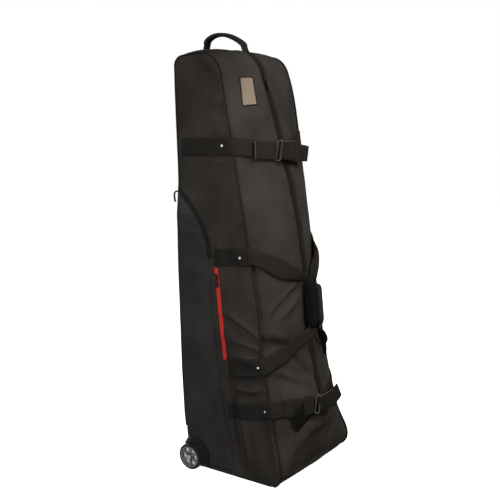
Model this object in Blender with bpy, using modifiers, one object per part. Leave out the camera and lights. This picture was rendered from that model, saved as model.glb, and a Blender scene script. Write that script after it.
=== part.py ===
"""Golf travel case: a soft, tapered cover that stands on a flat base and rolls on two wheels.

Two side panels carry the shape. A gusset strip wraps around them: base, kick panel, front flaps,
top cap and back panel. The front splits at a centre zip into two flaps that open like doors.
+Z is up, -Y is the front, and the origin is the middle of the base on the floor.
"""

import math

import bmesh
import bpy
from mathutils import Matrix, Vector

# Body sizes, metres
HEIGHT = 1.220
DEPTH_BASE = 0.349
DEPTH_TOP = 0.166
HALF_WIDTH = 0.165
BASE_FLARE = 0.015
KICK_HEIGHT = 0.160
CAP_FRONT_DROP = 0.152
CAP_BACK_DROP = 0.170
PANEL_T = 0.004
CLEAR = 0.0003
PANEL_GAP = 0.0006
BASE_GAP = 0.0012

# Seam corner radii, seen from the side
FRONT_BOTTOM_R = 0.040
FRONT_TOP_R = 0.070
BACK_TOP_R = 0.035
BACK_BOTTOM_R = 0.037

# How far the gusset swells out past the side seams
ZIP_LOW_Z = 0.105
ZIP_TOP_DROP = 0.065
ZIP_LOW_SWELL = 0.046
ZIP_HIGH_SWELL = 0.0235
ZIP_BOW = 0.028
TOP_SWELL = 0.014
BACK_SWELL = 0.010

# Main zip
TAPE_W = 0.0115
TAPE_T = 0.0012
SLIDER_L = 0.018
SLIDER_W = 0.011
SLIDER_T = 0.005
PULLER_L = 0.034
PULLER_W = 0.009
PULLER_T = 0.0022
SLIDER_DROP = 0.082

# Piping and inner pieces
PIPING_R = 0.0025
PIPING_END_Z = 0.108
BOARD_T = 0.006
BOARD_INSET = 0.012
FOAM_T = 0.012
FOAM_HALF_W = 0.140
FOAM_LOW_Z = 0.780
FOAM_HIGH_Z = 1.140

# Side pocket with an arc zip, and the short straight zip in front of it.
# Depths are measured forward from the back seam.
POCKET_RISE = 0.014
POCKET_WALL = 0.0025
POCKET_SLOPE_W = 0.012
POCKET_BACK = 0.006
POCKET_LOW_Z = 0.125
POCKET_ARC_Z = 0.640
POCKET_ARC_R = 0.237
POCKET_FRONT_TOP = 0.108
POCKET_FRONT_LOW = 0.140
SIDE_TAPE_W = 0.012
SIDE_TAPE_T = 0.0012
ARC_TAPE_SWEEP = 54.0
RED_ZIP_TOP = (0.136, 0.612)
RED_ZIP_LOW = (0.155, 0.356)

# Webbing
WEB_W = 0.050
WEB_T = 0.0022
WEB_LIFT = 0.0018
SEAM_MARGIN = 0.009
HINGE_MARGIN = 0.006

# Haul loops: anchors at the side seams, grips at the centre line
LOOP_HIGH_Z = 0.657
LOOP_LOW_Z = 0.346
PATCH_LENGTH = 0.118
PATCH_TILT = 8.0
GRIP_HIGH_Z = 0.566
GRIP_LOW_Z = 0.432
GRIP_X = 0.0140
GRIP_HALF_X = 0.0120
GRIP_HALF_OUT = 0.0155
GRIP_OUT = 0.0270
GRIP_BORE = 0.84
GRIP_BORE_NARROW = 0.45
GRIP_ENTRY = 0.010
WEB_GATHER = 0.54

# Compression straps and side-release buckles
UPPER_STRAP_Z = 0.966
UPPER_STRAP_BACK = 0.030
UPPER_STRAP_TILT = 1.0
LOWER_STRAP_Z = 0.222
LOWER_STRAP_BACK = 0.160
LOWER_STRAP_TILT = 11.0
STRAP_DROOP = 0.018
BUCKLE_LEFT_X = -0.140
BUCKLE_RIGHT_X = -0.030
BUCKLE_STANDOFF = 0.011
FEMALE_L = 0.062
FEMALE_W = 0.060
BUCKLE_T = 0.013
BUCKLE_WALL = 0.0026
MALE_L = 0.036
ARM_L = 0.030
ARM_W = 0.007
ARM_T = 0.006
SLOT_W = 0.006
TAIL_L = 0.105
TAIL_LIFT = 0.030

# Name-card window on the left half of the cap's front
CARD_W = 0.048
CARD_H = 0.076
CARD_DROP = 0.068
CARD_T = 0.003
CARD_X = -0.080

# Top carry handle, running front to back
HANDLE_BACK = 0.008
HANDLE_FRONT = 0.137
HANDLE_RISE = 0.050
HANDLE_SHOULDER_RISE = 0.020
HANDLE_W = 0.025
HANDLE_T = 0.008
LEG_T = 0.004
HANDLE_SEAT = 0.0014

# Wheels
WHEEL_R = 0.040
WHEEL_W = 0.022
WHEEL_LIFT = 0.0005
TYRE_BORE_R = 0.0325
HUB_R = 0.0322
HUB_SPOKES = 6
HUB_HOLE_R = 0.0065
HUB_HOLE_RING = 0.0205
HUB_DISH = 0.004
BEARING_R = 0.011
BEARING_W = 0.007
BEARING_BORE_R = 0.0043
AXLE_R = 0.0040
AXLE_HEAD_R = 0.0085
AXLE_HEAD_T = 0.003
AXLE_SEAT = 0.008
WHEEL_INNER_X = 0.1965
HOUSING_PLATE_T = 0.006
ARCH_R = 0.0425
ARCH_STEP_R = 0.0035
ARCH_STEP_X = 0.0075
ARCH_OUTER_X = 0.2085
ARCH_STEPS = 3
ARCH_FROM = -28.0
ARCH_TO = 118.0
BOSS_R = 0.013

# Values worked out from the sizes above
BACK_Y = DEPTH_BASE / 2
FLAP_TOP = HEIGHT - CAP_FRONT_DROP
CAP_SKIRT = HEIGHT - CAP_BACK_DROP
ZIP_HIGH_Z = HEIGHT - ZIP_TOP_DROP
SLIDER_TOP_Z = HEIGHT - SLIDER_DROP
CROWN_Z = HEIGHT + TOP_SWELL
LEAN = math.atan((DEPTH_BASE - DEPTH_TOP) / HEIGHT)
FRONT_UP = Vector((0.0, math.sin(LEAN), math.cos(LEAN)))
FRONT_OUT = Vector((0.0, -math.cos(LEAN), math.sin(LEAN)))
AXLE_Y = BACK_Y - BACK_BOTTOM_R
AXLE_Z = WHEEL_R + WHEEL_LIFT


def clear_scene():
    for obj in list(bpy.data.objects):
        bpy.data.objects.remove(obj, do_unlink=True)


def new_collection(name):
    collection = bpy.data.collections.new(name)
    bpy.context.scene.collection.children.link(collection)
    return collection


# Finishes: colour, roughness, metallic
FINISHES = {
    "nylon": ((0.030, 0.029, 0.028), 0.75, 0.0),
    "pocket_nylon": ((0.024, 0.024, 0.025), 0.60, 0.0),
    "webbing": ((0.022, 0.021, 0.020), 0.80, 0.0),
    "tape": ((0.018, 0.018, 0.018), 0.70, 0.0),
    "red_tape": ((0.62, 0.045, 0.035), 0.65, 0.0),
    "moulded": ((0.015, 0.015, 0.016), 0.45, 0.0),
    "padding": ((0.026, 0.025, 0.025), 0.70, 0.0),
    "foam": ((0.10, 0.10, 0.11), 0.90, 0.0),
    "board": ((0.05, 0.05, 0.05), 0.80, 0.0),
    "rubber": ((0.012, 0.012, 0.012), 0.70, 0.0),
    "silver": ((0.60, 0.60, 0.62), 0.35, 0.6),
    "steel": ((0.55, 0.55, 0.57), 0.30, 1.0),
    "zinc": ((0.06, 0.06, 0.065), 0.35, 0.9),
    "window": ((0.55, 0.50, 0.45), 0.25, 0.0),
}


def finish(obj, kind):
    """Give an object its own Principled material of one of the finishes."""
    colour, roughness, metallic = FINISHES[kind]
    mat = bpy.data.materials.new(obj.name + "_" + kind)
    mat.use_nodes = True
    shader = mat.node_tree.nodes["Principled BSDF"]
    shader.inputs["Base Color"].default_value = (*colour, 1.0)
    shader.inputs["Roughness"].default_value = roughness
    shader.inputs["Metallic"].default_value = metallic
    obj.data.materials.append(mat)


def part(name, bm, kind, pivot=(0.0, 0.0, 0.0), smooth=True):
    """Turn a bmesh in world coordinates into a named part whose origin is at pivot."""
    bmesh.ops.translate(bm, verts=bm.verts, vec=-Vector(pivot))
    mesh = bpy.data.meshes.new(name)
    bm.to_mesh(mesh)
    bm.free()
    if smooth:
        mesh.shade_smooth()
        mesh.set_sharp_from_angle(angle=math.radians(35))
    obj = bpy.data.objects.new(name, mesh)
    obj.location = pivot
    PARTS.objects.link(obj)
    finish(obj, kind)
    return obj


def thicken(obj, thickness, offset=-1.0):
    """Give an open surface a wall. Offset -1 grows it away from the side its faces point to."""
    shell = obj.modifiers.new("wall", "SOLIDIFY")
    shell.thickness = thickness
    shell.offset = offset
    shell.use_even_offset = True
    return obj


def loft(rows, outward):
    """Join rows of points into one sheet whose faces look along outward."""
    bm = bmesh.new()
    grid = [[bm.verts.new(point) for point in row] for row in rows]
    for low, high in zip(grid, grid[1:]):
        for i in range(len(low) - 1):
            bm.faces.new((low[i], low[i + 1], high[i + 1], high[i]))
    bm.normal_update()
    facing = sum((face.normal * face.calc_area() for face in bm.faces), Vector())
    if facing.dot(Vector(outward)) < 0:
        bmesh.ops.reverse_faces(bm, faces=bm.faces)
    return bm


def span(low, high, count):
    """Evenly spaced values from low to high, both ends included."""
    return [low + (high - low) * i / (count - 1) for i in range(count)]


def smoothstep(t):
    t = min(max(t, 0.0), 1.0)
    return t * t * (3 - 2 * t)


def side_x(z):
    """Half the width at a height: straight sides that flare out into the base."""
    return HALF_WIDTH + BASE_FLARE * max(0.0, 1.0 - z / KICK_HEIGHT) ** 2


def front_y(z):
    return BACK_Y - DEPTH_BASE + z * math.tan(LEAN)


# The side seam seen from the side: four corners with fillets, as (y, z)
FRONT_BOTTOM = Vector((front_y(0.0), 0.0))
FRONT_TOP = Vector((front_y(HEIGHT), HEIGHT))
BACK_TOP = Vector((BACK_Y, HEIGHT))
BACK_BOTTOM = Vector((BACK_Y, 0.0))


def fillet(before, corner, after, radius, steps):
    """Points and outward normals, as (y, z) pairs, round one corner of the seam."""
    to_before = (before - corner).normalized()
    to_after = (after - corner).normalized()
    half = to_before.angle(to_after) / 2
    centre = corner + (to_before + to_after).normalized() * radius / math.sin(half)
    start = corner + to_before * radius / math.tan(half) - centre
    turn = start.angle_signed(corner + to_after * radius / math.tan(half) - centre)
    out = []
    for angle in span(0.0, -turn, steps + 1):
        spoke = Matrix.Rotation(angle, 2) @ start
        out.append((centre + spoke, spoke.normalized()))
    return out


ARC_A = fillet(BACK_BOTTOM, FRONT_BOTTOM, FRONT_TOP, FRONT_BOTTOM_R, 5)
ARC_B = fillet(FRONT_BOTTOM, FRONT_TOP, BACK_TOP, FRONT_TOP_R, 7)
ARC_C = fillet(FRONT_TOP, BACK_TOP, BACK_BOTTOM, BACK_TOP_R, 5)
ARC_D = fillet(BACK_TOP, BACK_BOTTOM, FRONT_BOTTOM, BACK_BOTTOM_R, 5)


def front_station(z):
    """A point of the front seam at a height, with its outward normal, as (y, z) pairs."""
    return Vector((front_y(z), z)), Vector((FRONT_OUT.y, FRONT_OUT.z))


class ZipArc:
    """The main zip's line: a shallow arc, measured along the front seam and out from it."""

    def __init__(self):
        low = Vector((ZIP_LOW_Z / math.cos(LEAN), ZIP_LOW_SWELL))
        high = Vector((ZIP_HIGH_Z / math.cos(LEAN), ZIP_HIGH_SWELL))
        chord = high - low
        self.radius = chord.length ** 2 / (8 * ZIP_BOW) + ZIP_BOW / 2
        inward = Vector((chord.y, -chord.x)).normalized()
        self.centre = (low + high) / 2 + inward * (self.radius - ZIP_BOW)

    def out(self, along):
        return self.centre.y + math.sqrt(self.radius ** 2 - (along - self.centre.x) ** 2)

    def axis_point(self):
        """The centre of the arc in the model, on the middle plane."""
        base = Vector((0.0, front_y(0.0), 0.0))
        return base + FRONT_UP * self.centre.x + FRONT_OUT * self.centre.y


ZIP = ZipArc()


def front_swell(z):
    """How far the middle of the front stands out past the side seams, at a seam height."""
    if z < ZIP_LOW_Z:
        return ZIP_LOW_SWELL * smoothstep(z / ZIP_LOW_Z)
    if z > ZIP_HIGH_Z:
        return ZIP_HIGH_SWELL
    return ZIP.out(z / math.cos(LEAN))


def gusset_row(station, swell, xs=None, lift=0.0, columns=13):
    """One row across the gusset strip: flat at the side seams, swelling to the middle."""
    (y, z), (ny, nz) = station
    width = side_x(max(z, 0.0))
    row = []
    for x in xs or span(-width, width, columns):
        out = swell * (1 - (x / width) ** 2) + lift
        row.append(Vector((x, y + ny * out, z + nz * out)))
    return row


def front_point(x, z, lift=0.0):
    """A point on the swollen front at seam height z, lifted off along the front's normal."""
    return gusset_row(front_station(z), front_swell(z), xs=[x], lift=lift)[0]


def line_stations(start, end, normal, count):
    """Stations on a straight run of the seam, without its two ends."""
    return [(start.lerp(end, t), normal) for t in span(0.0, 1.0, count + 2)[1:-1]]


def add_base():
    """The flat base that the case stands on, and the stiff board that lies on it inside."""
    front, back = ARC_A[0][0].x, ARC_D[-1][0].x
    rows = [[(-side_x(0), y, 0.0), (side_x(0), y, 0.0)]
            for y in (front + BASE_GAP, back - BASE_GAP)]
    thicken(part("base_panel", loft(rows, (0, 0, -1)), "rubber"), PANEL_T)
    bm = bmesh.new()
    bmesh.ops.create_cube(bm, size=1.0)
    size = (2 * (HALF_WIDTH - BOARD_INSET), back - front - 2 * BOARD_INSET, BOARD_T)
    bmesh.ops.scale(bm, vec=size, verts=bm.verts)
    middle = ((0.0, (front + back) / 2, PANEL_T + CLEAR + BOARD_T / 2))
    bmesh.ops.translate(bm, vec=middle, verts=bm.verts)
    uprights = [e for e in bm.edges if abs(e.verts[0].co.z - e.verts[1].co.z) > BOARD_T / 2]
    bmesh.ops.bevel(bm, geom=uprights, offset=BOARD_INSET, segments=4, affect="EDGES", profile=0.5)
    part("base_board", bm, "board")


def add_kick_panel():
    rows = [gusset_row(s, front_swell(s[0].y)) for s in ARC_A]
    start = ARC_A[-1][0].y
    for z in span(start, KICK_HEIGHT - PANEL_GAP, 6)[1:]:
        rows.append(gusset_row(front_station(z), front_swell(z)))
    thicken(part("kick_panel", loft(rows, (0, -1, 0)), "nylon"), PANEL_T)


def cap_stations():
    """Stations of the fixed hood, from its front lip over the crown to its back skirt, with their swell."""
    lip = [front_station(z) for z in span(FLAP_TOP + PANEL_GAP, ZIP_HIGH_Z, 4)]
    run = [(s, front_swell(s[0].y)) for s in lip]
    for arc, before, after in ((ARC_B, ZIP_HIGH_SWELL, TOP_SWELL), (ARC_C, TOP_SWELL, BACK_SWELL)):
        for i, station in enumerate(arc):
            t = smoothstep(i / (len(arc) - 1))
            run.append((station, before + (after - before) * t))
        if arc is ARC_B:
            run += [(s, TOP_SWELL) for s in line_stations(ARC_B[-1][0], ARC_C[0][0], ARC_C[0][1], 2)]
    run.append(((Vector((BACK_Y, CAP_SKIRT)), ARC_C[-1][1]), BACK_SWELL))
    return run


def add_top_cap():
    """The fixed hood over the top: front lip, crown and back skirt in one strip."""
    rows = [gusset_row(station, swell) for station, swell in cap_stations()]
    thicken(part("top_cap", loft(rows, (0, 0, 1)), "nylon"), PANEL_T)


def back_run(top):
    """Stations down the straight back, closer together where the base flares."""
    heights = span(top, KICK_HEIGHT, 6) + span(KICK_HEIGHT, ARC_D[0][0].y, 6)[1:-1]
    return [(Vector((BACK_Y, z)), ARC_D[0][1]) for z in heights]


def add_back_panel():
    rows = [gusset_row(s, BACK_SWELL) for s in back_run(CAP_SKIRT - PANEL_GAP)]
    for i, station in enumerate(ARC_D):
        rows.append(gusset_row(station, BACK_SWELL * (1 - smoothstep(i / (len(ARC_D) - 1)))))
    thicken(part("back_panel", loft(rows, (0, 1, 0)), "nylon"), PANEL_T)


def add_foam_pad():
    """Padding that hangs inside the back, behind the club heads."""
    xs = span(-FOAM_HALF_W, FOAM_HALF_W, 9)
    ends = [(Vector((BACK_Y, z)), ARC_D[0][1]) for z in (FOAM_LOW_Z, FOAM_HIGH_Z)]
    rows = [gusset_row(s, BACK_SWELL, xs, -(PANEL_T + 2 * CLEAR)) for s in ends]
    thicken(part("back_foam_pad", loft(rows, (0, 1, 0)), "foam"), FOAM_T)


def seam_outline(inset):
    """The closed side-seam outline, moved in by inset, as (y, z) points."""
    return [p - n * inset for arc in (ARC_A, ARC_B, ARC_C, ARC_D) for p, n in arc]


def add_side_panel(name, side):
    """One flat side, cut to the seam outline and bent out along the base."""
    bm = bmesh.new()
    outline = seam_outline(PANEL_T + CLEAR)
    bm.faces.new([bm.verts.new((0.0, y, z)) for y, z in outline])
    for z in span(KICK_HEIGHT / 8, KICK_HEIGHT, 8):
        geom = bm.verts[:] + bm.edges[:] + bm.faces[:]
        bmesh.ops.bisect_plane(bm, geom=geom, plane_co=(0, 0, z), plane_no=(0, 0, 1))
    for v in bm.verts:
        v.co.x = side * side_x(v.co.z)
    grown = bmesh.ops.extrude_face_region(bm, geom=bm.faces[:])["geom"]
    inner = [g for g in grown if isinstance(g, bmesh.types.BMVert)]
    bmesh.ops.translate(bm, vec=(-side * PANEL_T, 0, 0), verts=inner)
    bmesh.ops.recalc_face_normals(bm, faces=bm.faces)
    part(name, bm, "nylon")


def add_piping(name, side):
    """The corded edge of one side seam: up the front, over the top and down to the wheel housing."""
    curve = bpy.data.curves.new(name, "CURVE")
    curve.dimensions = "3D"
    curve.bevel_depth = PIPING_R
    curve.bevel_resolution = 2
    curve.use_fill_caps = True
    low = span(ARC_A[-1][0].y, KICK_HEIGHT - PANEL_GAP, 6)[1:]
    front = [front_station(z) for z in low + span(KICK_HEIGHT, ARC_B[0][0].y, 8)[1:-1]]
    back = [s for s in back_run(CAP_SKIRT) if s[0].y > PIPING_END_Z]
    stations = ARC_A[1:] + front + ARC_B + ARC_C + back
    spline = curve.splines.new("POLY")
    spline.points.add(len(stations) - 1)
    for point, (place, normal) in zip(spline.points, stations):
        y, z = place - normal * (PIPING_R + CLEAR)
        point.co = (side * (side_x(place.y) + PIPING_R + 2 * CLEAR), y, z, 1.0)
    guide = bpy.data.objects.new(name + "_guide", curve)
    bpy.context.scene.collection.objects.link(guide)
    graph = bpy.context.evaluated_depsgraph_get()
    mesh = bpy.data.meshes.new_from_object(guide.evaluated_get(graph))
    bpy.data.objects.remove(guide)
    bm = bmesh.new()
    bm.from_mesh(mesh)
    bpy.data.meshes.remove(mesh)
    bmesh.ops.remove_doubles(bm, verts=bm.verts, dist=0.00001)
    bmesh.ops.recalc_face_normals(bm, faces=bm.faces)
    part(name, bm, "webbing")


def hinge_line(side):
    """A point on one flap's hinge: the front corner seam, half way up."""
    z = (KICK_HEIGHT + FLAP_TOP) / 2
    return Vector((side * HALF_WIDTH, front_y(z), z))


def add_flap(name, side):
    """One half of the front, from its corner seam to the zip."""
    xs = [side * x for x in span(HALF_WIDTH, PANEL_GAP / 2, 9)]
    rows = [gusset_row(front_station(z), front_swell(z), xs) for z in span(KICK_HEIGHT, FLAP_TOP, 23)]
    thicken(part(name, loft(rows, (0, -1, 0)), "nylon", hinge_line(side)), PANEL_T)


def add_zip_tape(name, side):
    """One half of the main zip: a woven tape laid on the flap's free edge."""
    xs = [side * x for x in (TAPE_W, TAPE_W / 2, PANEL_GAP / 2)]
    rows = [gusset_row(front_station(z), front_swell(z), xs, CLEAR)
            for z in span(KICK_HEIGHT, FLAP_TOP, 23)]
    thicken(part(name, loft(rows, (0, -1, 0)), "tape", hinge_line(side)), TAPE_T, 1.0)


def add_top_tape():
    """The fixed top end of the main zip, on the cap, where the slider parks."""
    xs = [-TAPE_W, 0.0, TAPE_W]
    stations = [front_station(z) for z in span(FLAP_TOP + PANEL_GAP, ZIP_HIGH_Z, 4)]
    rows = [gusset_row(s, front_swell(s[0].y), xs, CLEAR) for s in stations]
    rows += [gusset_row(s, ZIP_HIGH_SWELL, xs, CLEAR) for s in ARC_B[:-3]]
    thicken(part("zip_tape_top", loft(rows, (0, -1, 0)), "tape"), TAPE_T, 1.0)


def box(bm, low, high):
    """Add a box between two corners to a bmesh, and return its vertices."""
    made = bmesh.ops.create_cube(bm, size=1.0)["verts"]
    size = Vector(high) - Vector(low)
    bmesh.ops.scale(bm, vec=size, verts=made)
    bmesh.ops.translate(bm, vec=(Vector(low) + Vector(high)) / 2, verts=made)
    return made


def carve(bm_body, bm_tool, operation):
    """Boolean of two closed bmeshes: DIFFERENCE or UNION. Both are used up."""
    objs = []
    for bm in (bm_body, bm_tool):
        mesh = bpy.data.meshes.new("work")
        bmesh.ops.recalc_face_normals(bm, faces=bm.faces)
        bm.to_mesh(mesh)
        bm.free()
        obj = bpy.data.objects.new("work", mesh)
        CUTTERS.objects.link(obj)
        obj.hide_render = True
        obj.display_type = "WIRE"
        objs.append(obj)
    cut = objs[0].modifiers.new("cut", "BOOLEAN")
    cut.operation = operation
    cut.object = objs[1]
    graph = bpy.context.evaluated_depsgraph_get()
    mesh = bpy.data.meshes.new_from_object(objs[0].evaluated_get(graph))
    for obj in objs:
        bpy.data.objects.remove(obj)
    bm = bmesh.new()
    bm.from_mesh(mesh)
    bpy.data.meshes.remove(mesh)
    bmesh.ops.remove_doubles(bm, verts=bm.verts, dist=0.000005)
    return bm


def slider_shape():
    """A zip slider lying on its tape: a boat-shaped body with a bridge, nose towards +Z, out is -Y."""
    bm = bmesh.new()
    body = box(bm, (-SLIDER_W / 2, -SLIDER_T, -SLIDER_L / 2), (SLIDER_W / 2, 0.0, SLIDER_L / 2))
    for v in body:
        if v.co.z > 0:
            v.co.x *= 1.12
        if v.co.y < -SLIDER_T / 2:
            v.co.x *= 0.8
    bmesh.ops.bevel(bm, geom=bm.edges[:], offset=0.001, segments=2, affect="EDGES", profile=0.5)
    return bm


def puller_shape():
    """A pull tab hanging from its hinge end at the origin, with a slot near its free end."""
    bm = bmesh.new()
    tab = box(bm, (-PULLER_W / 2, -PULLER_T / 2, -PULLER_L), (PULLER_W / 2, PULLER_T / 2, 0.0))
    for v in tab:
        if v.co.z > -PULLER_L / 2:
            v.co.x *= 0.7
    uprights = [e for e in bm.edges if abs(e.verts[0].co.y - e.verts[1].co.y) > PULLER_T / 2]
    bmesh.ops.bevel(bm, geom=uprights, offset=0.0025, segments=3, affect="EDGES", profile=0.5)
    slot = bmesh.new()
    box(slot, (-PULLER_W / 5, -PULLER_T * 2, -PULLER_L * 0.85), (PULLER_W / 5, PULLER_T, -PULLER_L * 0.5))
    return carve(bm, slot, "DIFFERENCE")


def frame_at(origin, up, out):
    """A placing matrix whose -Y looks along out and whose +Z is up."""
    back = -Vector(out).normalized()
    up = Vector(up) - back * Vector(up).dot(back)
    up.normalize()
    right = back.cross(up)
    matrix = Matrix((right, back, up)).transposed().to_4x4()
    matrix.translation = origin
    return matrix


def add_slider(prefix, place, pivot, tape_lift):
    """A slider and its pull tab. Place is a matrix on the tape's face; pivot is the slider joint's axis."""
    lift = Matrix.Translation((0.0, -(tape_lift + CLEAR), 0.0))
    body = slider_shape()
    body.transform(place @ lift)
    part(prefix + "_slider", body, "zinc", pivot)
    eye = place @ Vector((0.0, -(tape_lift + SLIDER_T + 2 * CLEAR + PULLER_T / 2), SLIDER_L * 0.2))
    tab = puller_shape()
    tab.transform(Matrix.Translation(eye) @ place.to_3x3().to_4x4())
    part(prefix + "_puller", tab, "zinc", eye)


def add_main_slider():
    z = SLIDER_TOP_Z
    spot = front_point(0.0, z)
    spoke = spot - ZIP.axis_point()
    out = Vector((0.0, spoke.y, spoke.z))
    place = frame_at(spot, FRONT_UP, out)
    add_slider("main_zip", place, ZIP.axis_point(), CLEAR + TAPE_T)


def side_point(depth, z, lift=0.0, side=-1):
    """A point on a side panel, a depth forward of the back seam."""
    return Vector((side * (side_x(z) + lift), BACK_Y - depth, z))


def inset_loop(points, distance):
    """A convex loop of 2D points, listed clockwise, with every edge moved in by distance."""
    moved = []
    corners = [Vector(p) for p in points]
    for i, here in enumerate(corners):
        before = (here - corners[i - 1]).normalized()
        after = (corners[(i + 1) % len(corners)] - here).normalized()
        inward = (Vector((before.y, -before.x)) + Vector((after.y, -after.x))).normalized()
        moved.append(here + inward * distance / inward.dot(Vector((after.y, -after.x))))
    return moved


def add_pocket():
    """The long side pocket: a raised fabric tray with a rounded top, open against the side panel."""
    centre = (POCKET_FRONT_TOP - POCKET_ARC_R, POCKET_ARC_Z)
    top_angle = math.acos((POCKET_BACK - centre[0]) / POCKET_ARC_R)
    outline = [(centre[0] + POCKET_ARC_R * math.cos(a), centre[1] + POCKET_ARC_R * math.sin(a))
               for a in span(top_angle, 0.0, 9)]
    outline += [(POCKET_FRONT_LOW, POCKET_LOW_Z), (POCKET_BACK, POCKET_LOW_Z)]
    slope, wall, rise = POCKET_SLOPE_W, POCKET_WALL, POCKET_RISE
    bm = bmesh.new()
    loops = []
    for inset, lift in ((0.0, CLEAR), (slope, rise), (slope + wall, rise - wall), (wall, CLEAR)):
        loops.append([bm.verts.new(side_point(d, z, lift)) for d, z in inset_loop(outline, inset)])
    count = len(outline)
    for one, two in zip(loops, loops[1:] + loops[:1]):
        if one is loops[1]:
            continue
        for i in range(count):
            j = (i + 1) % count
            bm.faces.new((one[i], one[j], two[j], two[i]))
    bm.faces.new(loops[1])
    bm.faces.new(loops[2])
    bmesh.ops.recalc_face_normals(bm, faces=bm.faces)
    part("side_pocket", bm, "pocket_nylon")


def arc_zip_centre():
    return side_point(POCKET_FRONT_TOP - POCKET_ARC_R, POCKET_ARC_Z)


def arc_zip_angle(t):
    """Angle along the pocket's arc zip: t is 0 at the back end and 1 at the lower front end."""
    return math.radians(ARC_TAPE_SWEEP) * (1 - t)


def add_arc_tape():
    radii = (POCKET_ARC_R + 2 * CLEAR, POCKET_ARC_R + 2 * CLEAR + SIDE_TAPE_W)
    depth0 = POCKET_FRONT_TOP - POCKET_ARC_R
    rows = [[side_point(depth0 + r * math.cos(arc_zip_angle(t)),
                        POCKET_ARC_Z + r * math.sin(arc_zip_angle(t)), CLEAR) for r in radii]
            for t in span(0.0, 1.0, 11)]
    thicken(part("pocket_zip_tape", loft(rows, (-1, 0, 0)), "tape"), SIDE_TAPE_T, 1.0)


def add_arc_slider():
    angle = arc_zip_angle(0.06)
    radius = POCKET_ARC_R + 2 * CLEAR + SIDE_TAPE_W / 2
    depth0 = POCKET_FRONT_TOP - POCKET_ARC_R
    spot = side_point(depth0 + radius * math.cos(angle), POCKET_ARC_Z + radius * math.sin(angle))
    along = Vector((0.0, math.sin(angle), math.cos(angle)))
    add_slider("pocket_zip", frame_at(spot, along, (-1, 0, 0)), arc_zip_centre(), CLEAR + SIDE_TAPE_T)


def red_zip_line():
    return side_point(*RED_ZIP_TOP), side_point(*RED_ZIP_LOW)


def add_red_zip():
    top, low = red_zip_line()
    along = (top - low).normalized()
    across = Vector((-1, 0, 0)).cross(along) * SIDE_TAPE_W / 2
    lift = Vector((-CLEAR, 0, 0))
    rows = [[end + across + lift, end - across + lift] for end in (top, low)]
    thicken(part("red_zip_tape", loft(rows, (-1, 0, 0)), "red_tape"), SIDE_TAPE_T, 1.0)
    spot = top - along * SLIDER_L
    add_slider("red_zip", frame_at(spot, along, (-1, 0, 0)), spot, CLEAR + SIDE_TAPE_T)


def add_side_webbing(name, side, z_front, tilt, length):
    """Webbing sewn flat on a side panel: it ends short of the seam and runs back for length."""
    slope = math.tan(math.radians(tilt))
    front = BACK_Y - front_y(z_front) - SEAM_MARGIN
    rows = []
    for depth in (front, front - length):
        z = z_front - (front - depth) * slope
        rows.append([side_point(depth, z + dz, CLEAR, side) for dz in (-WEB_W / 2, WEB_W / 2)])
    bm = loft(rows, (side, 0, 0))
    thicken(part(name, bm, "webbing"), WEB_T, 1.0)


def skin_up(x, z):
    """The way up along the swollen front at one spot, as webbing lying there would take it."""
    return (front_point(x, z + WEB_W / 2) - front_point(x, z - WEB_W / 2)).normalized()


def ribbon(path, outward):
    """A strip of webbing: path holds (centre, width vector) pairs."""
    rows = [[centre - across * WEB_W / 2, centre + across * WEB_W / 2] for centre, across in path]
    return loft(rows, outward)


def grip_place(side):
    """Top and bottom ends of one haul grip's core, in front of the zip."""
    return [front_point(side * GRIP_X, z, GRIP_OUT) for z in (GRIP_HIGH_Z, GRIP_LOW_Z)]


def haul_run(side, z_corner, z_grip, up):
    """Webbing from the corner seam to one end of the grip: it lifts off, then turns edge-on."""
    corner_x = HALF_WIDTH - HINGE_MARGIN
    path = []
    for t in span(0.0, 1.0, 10):
        x = side * (corner_x + (GRIP_X - corner_x) * t)
        z = z_corner + (z_grip + up * GRIP_ENTRY - z_corner) * t
        across = (skin_up(x, z) * up * (1 - t * t) + FRONT_OUT * t * t).normalized()
        path.append((front_point(x, z, WEB_LIFT + GRIP_OUT * t), across * (1 - WEB_GATHER * t)))
    return path


def add_haul_loop(prefix, side):
    """One haul loop: webbing that leaves the corner seam twice and runs through a padded grip."""
    top, low = grip_place(side)
    core = [(low.lerp(top, t), FRONT_OUT * (1 - WEB_GATHER)) for t in span(0.95, 0.05, 5)]
    lower = haul_run(side, LOOP_LOW_Z, GRIP_LOW_Z, -1)
    path = haul_run(side, LOOP_HIGH_Z, GRIP_HIGH_Z, 1) + core + lower[::-1]
    web = part(prefix + "_web", ribbon(path, (side, 0, 0)), "webbing", hinge_line(side))
    thicken(web, WEB_T, 0.0)
    add_grip(prefix + "_grip", side, top, low)


def add_grip(name, side, top, low):
    """A padded sleeve round the gathered webbing: an oval tube with drawn-in ends."""
    bm = bmesh.new()
    count = 14
    shape = [(0.0, GRIP_BORE), (0.0, 0.90), (0.06, 0.97), (0.3, 1.0), (0.7, 1.0), (0.94, 0.97),
             (1.0, 0.90), (1.0, GRIP_BORE)]
    rings = []
    for t, size in shape:
        middle = low.lerp(top, t)
        ring = []
        for i in range(count):
            a = 2 * math.pi * i / count
            reach = Vector((GRIP_HALF_X * math.cos(a), 0.0, 0.0)) + FRONT_OUT * GRIP_HALF_OUT * math.sin(a)
            if size == GRIP_BORE:
                reach.x *= GRIP_BORE_NARROW
            ring.append(bm.verts.new(middle + reach * size))
        rings.append(ring)
    for one, two in zip(rings, rings[1:] + rings[:1]):
        for i in range(count):
            j = (i + 1) % count
            bm.faces.new((one[i], one[j], two[j], two[i]))
    bmesh.ops.recalc_face_normals(bm, faces=bm.faces)
    part(name, bm, "padding", hinge_line(side))


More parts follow.
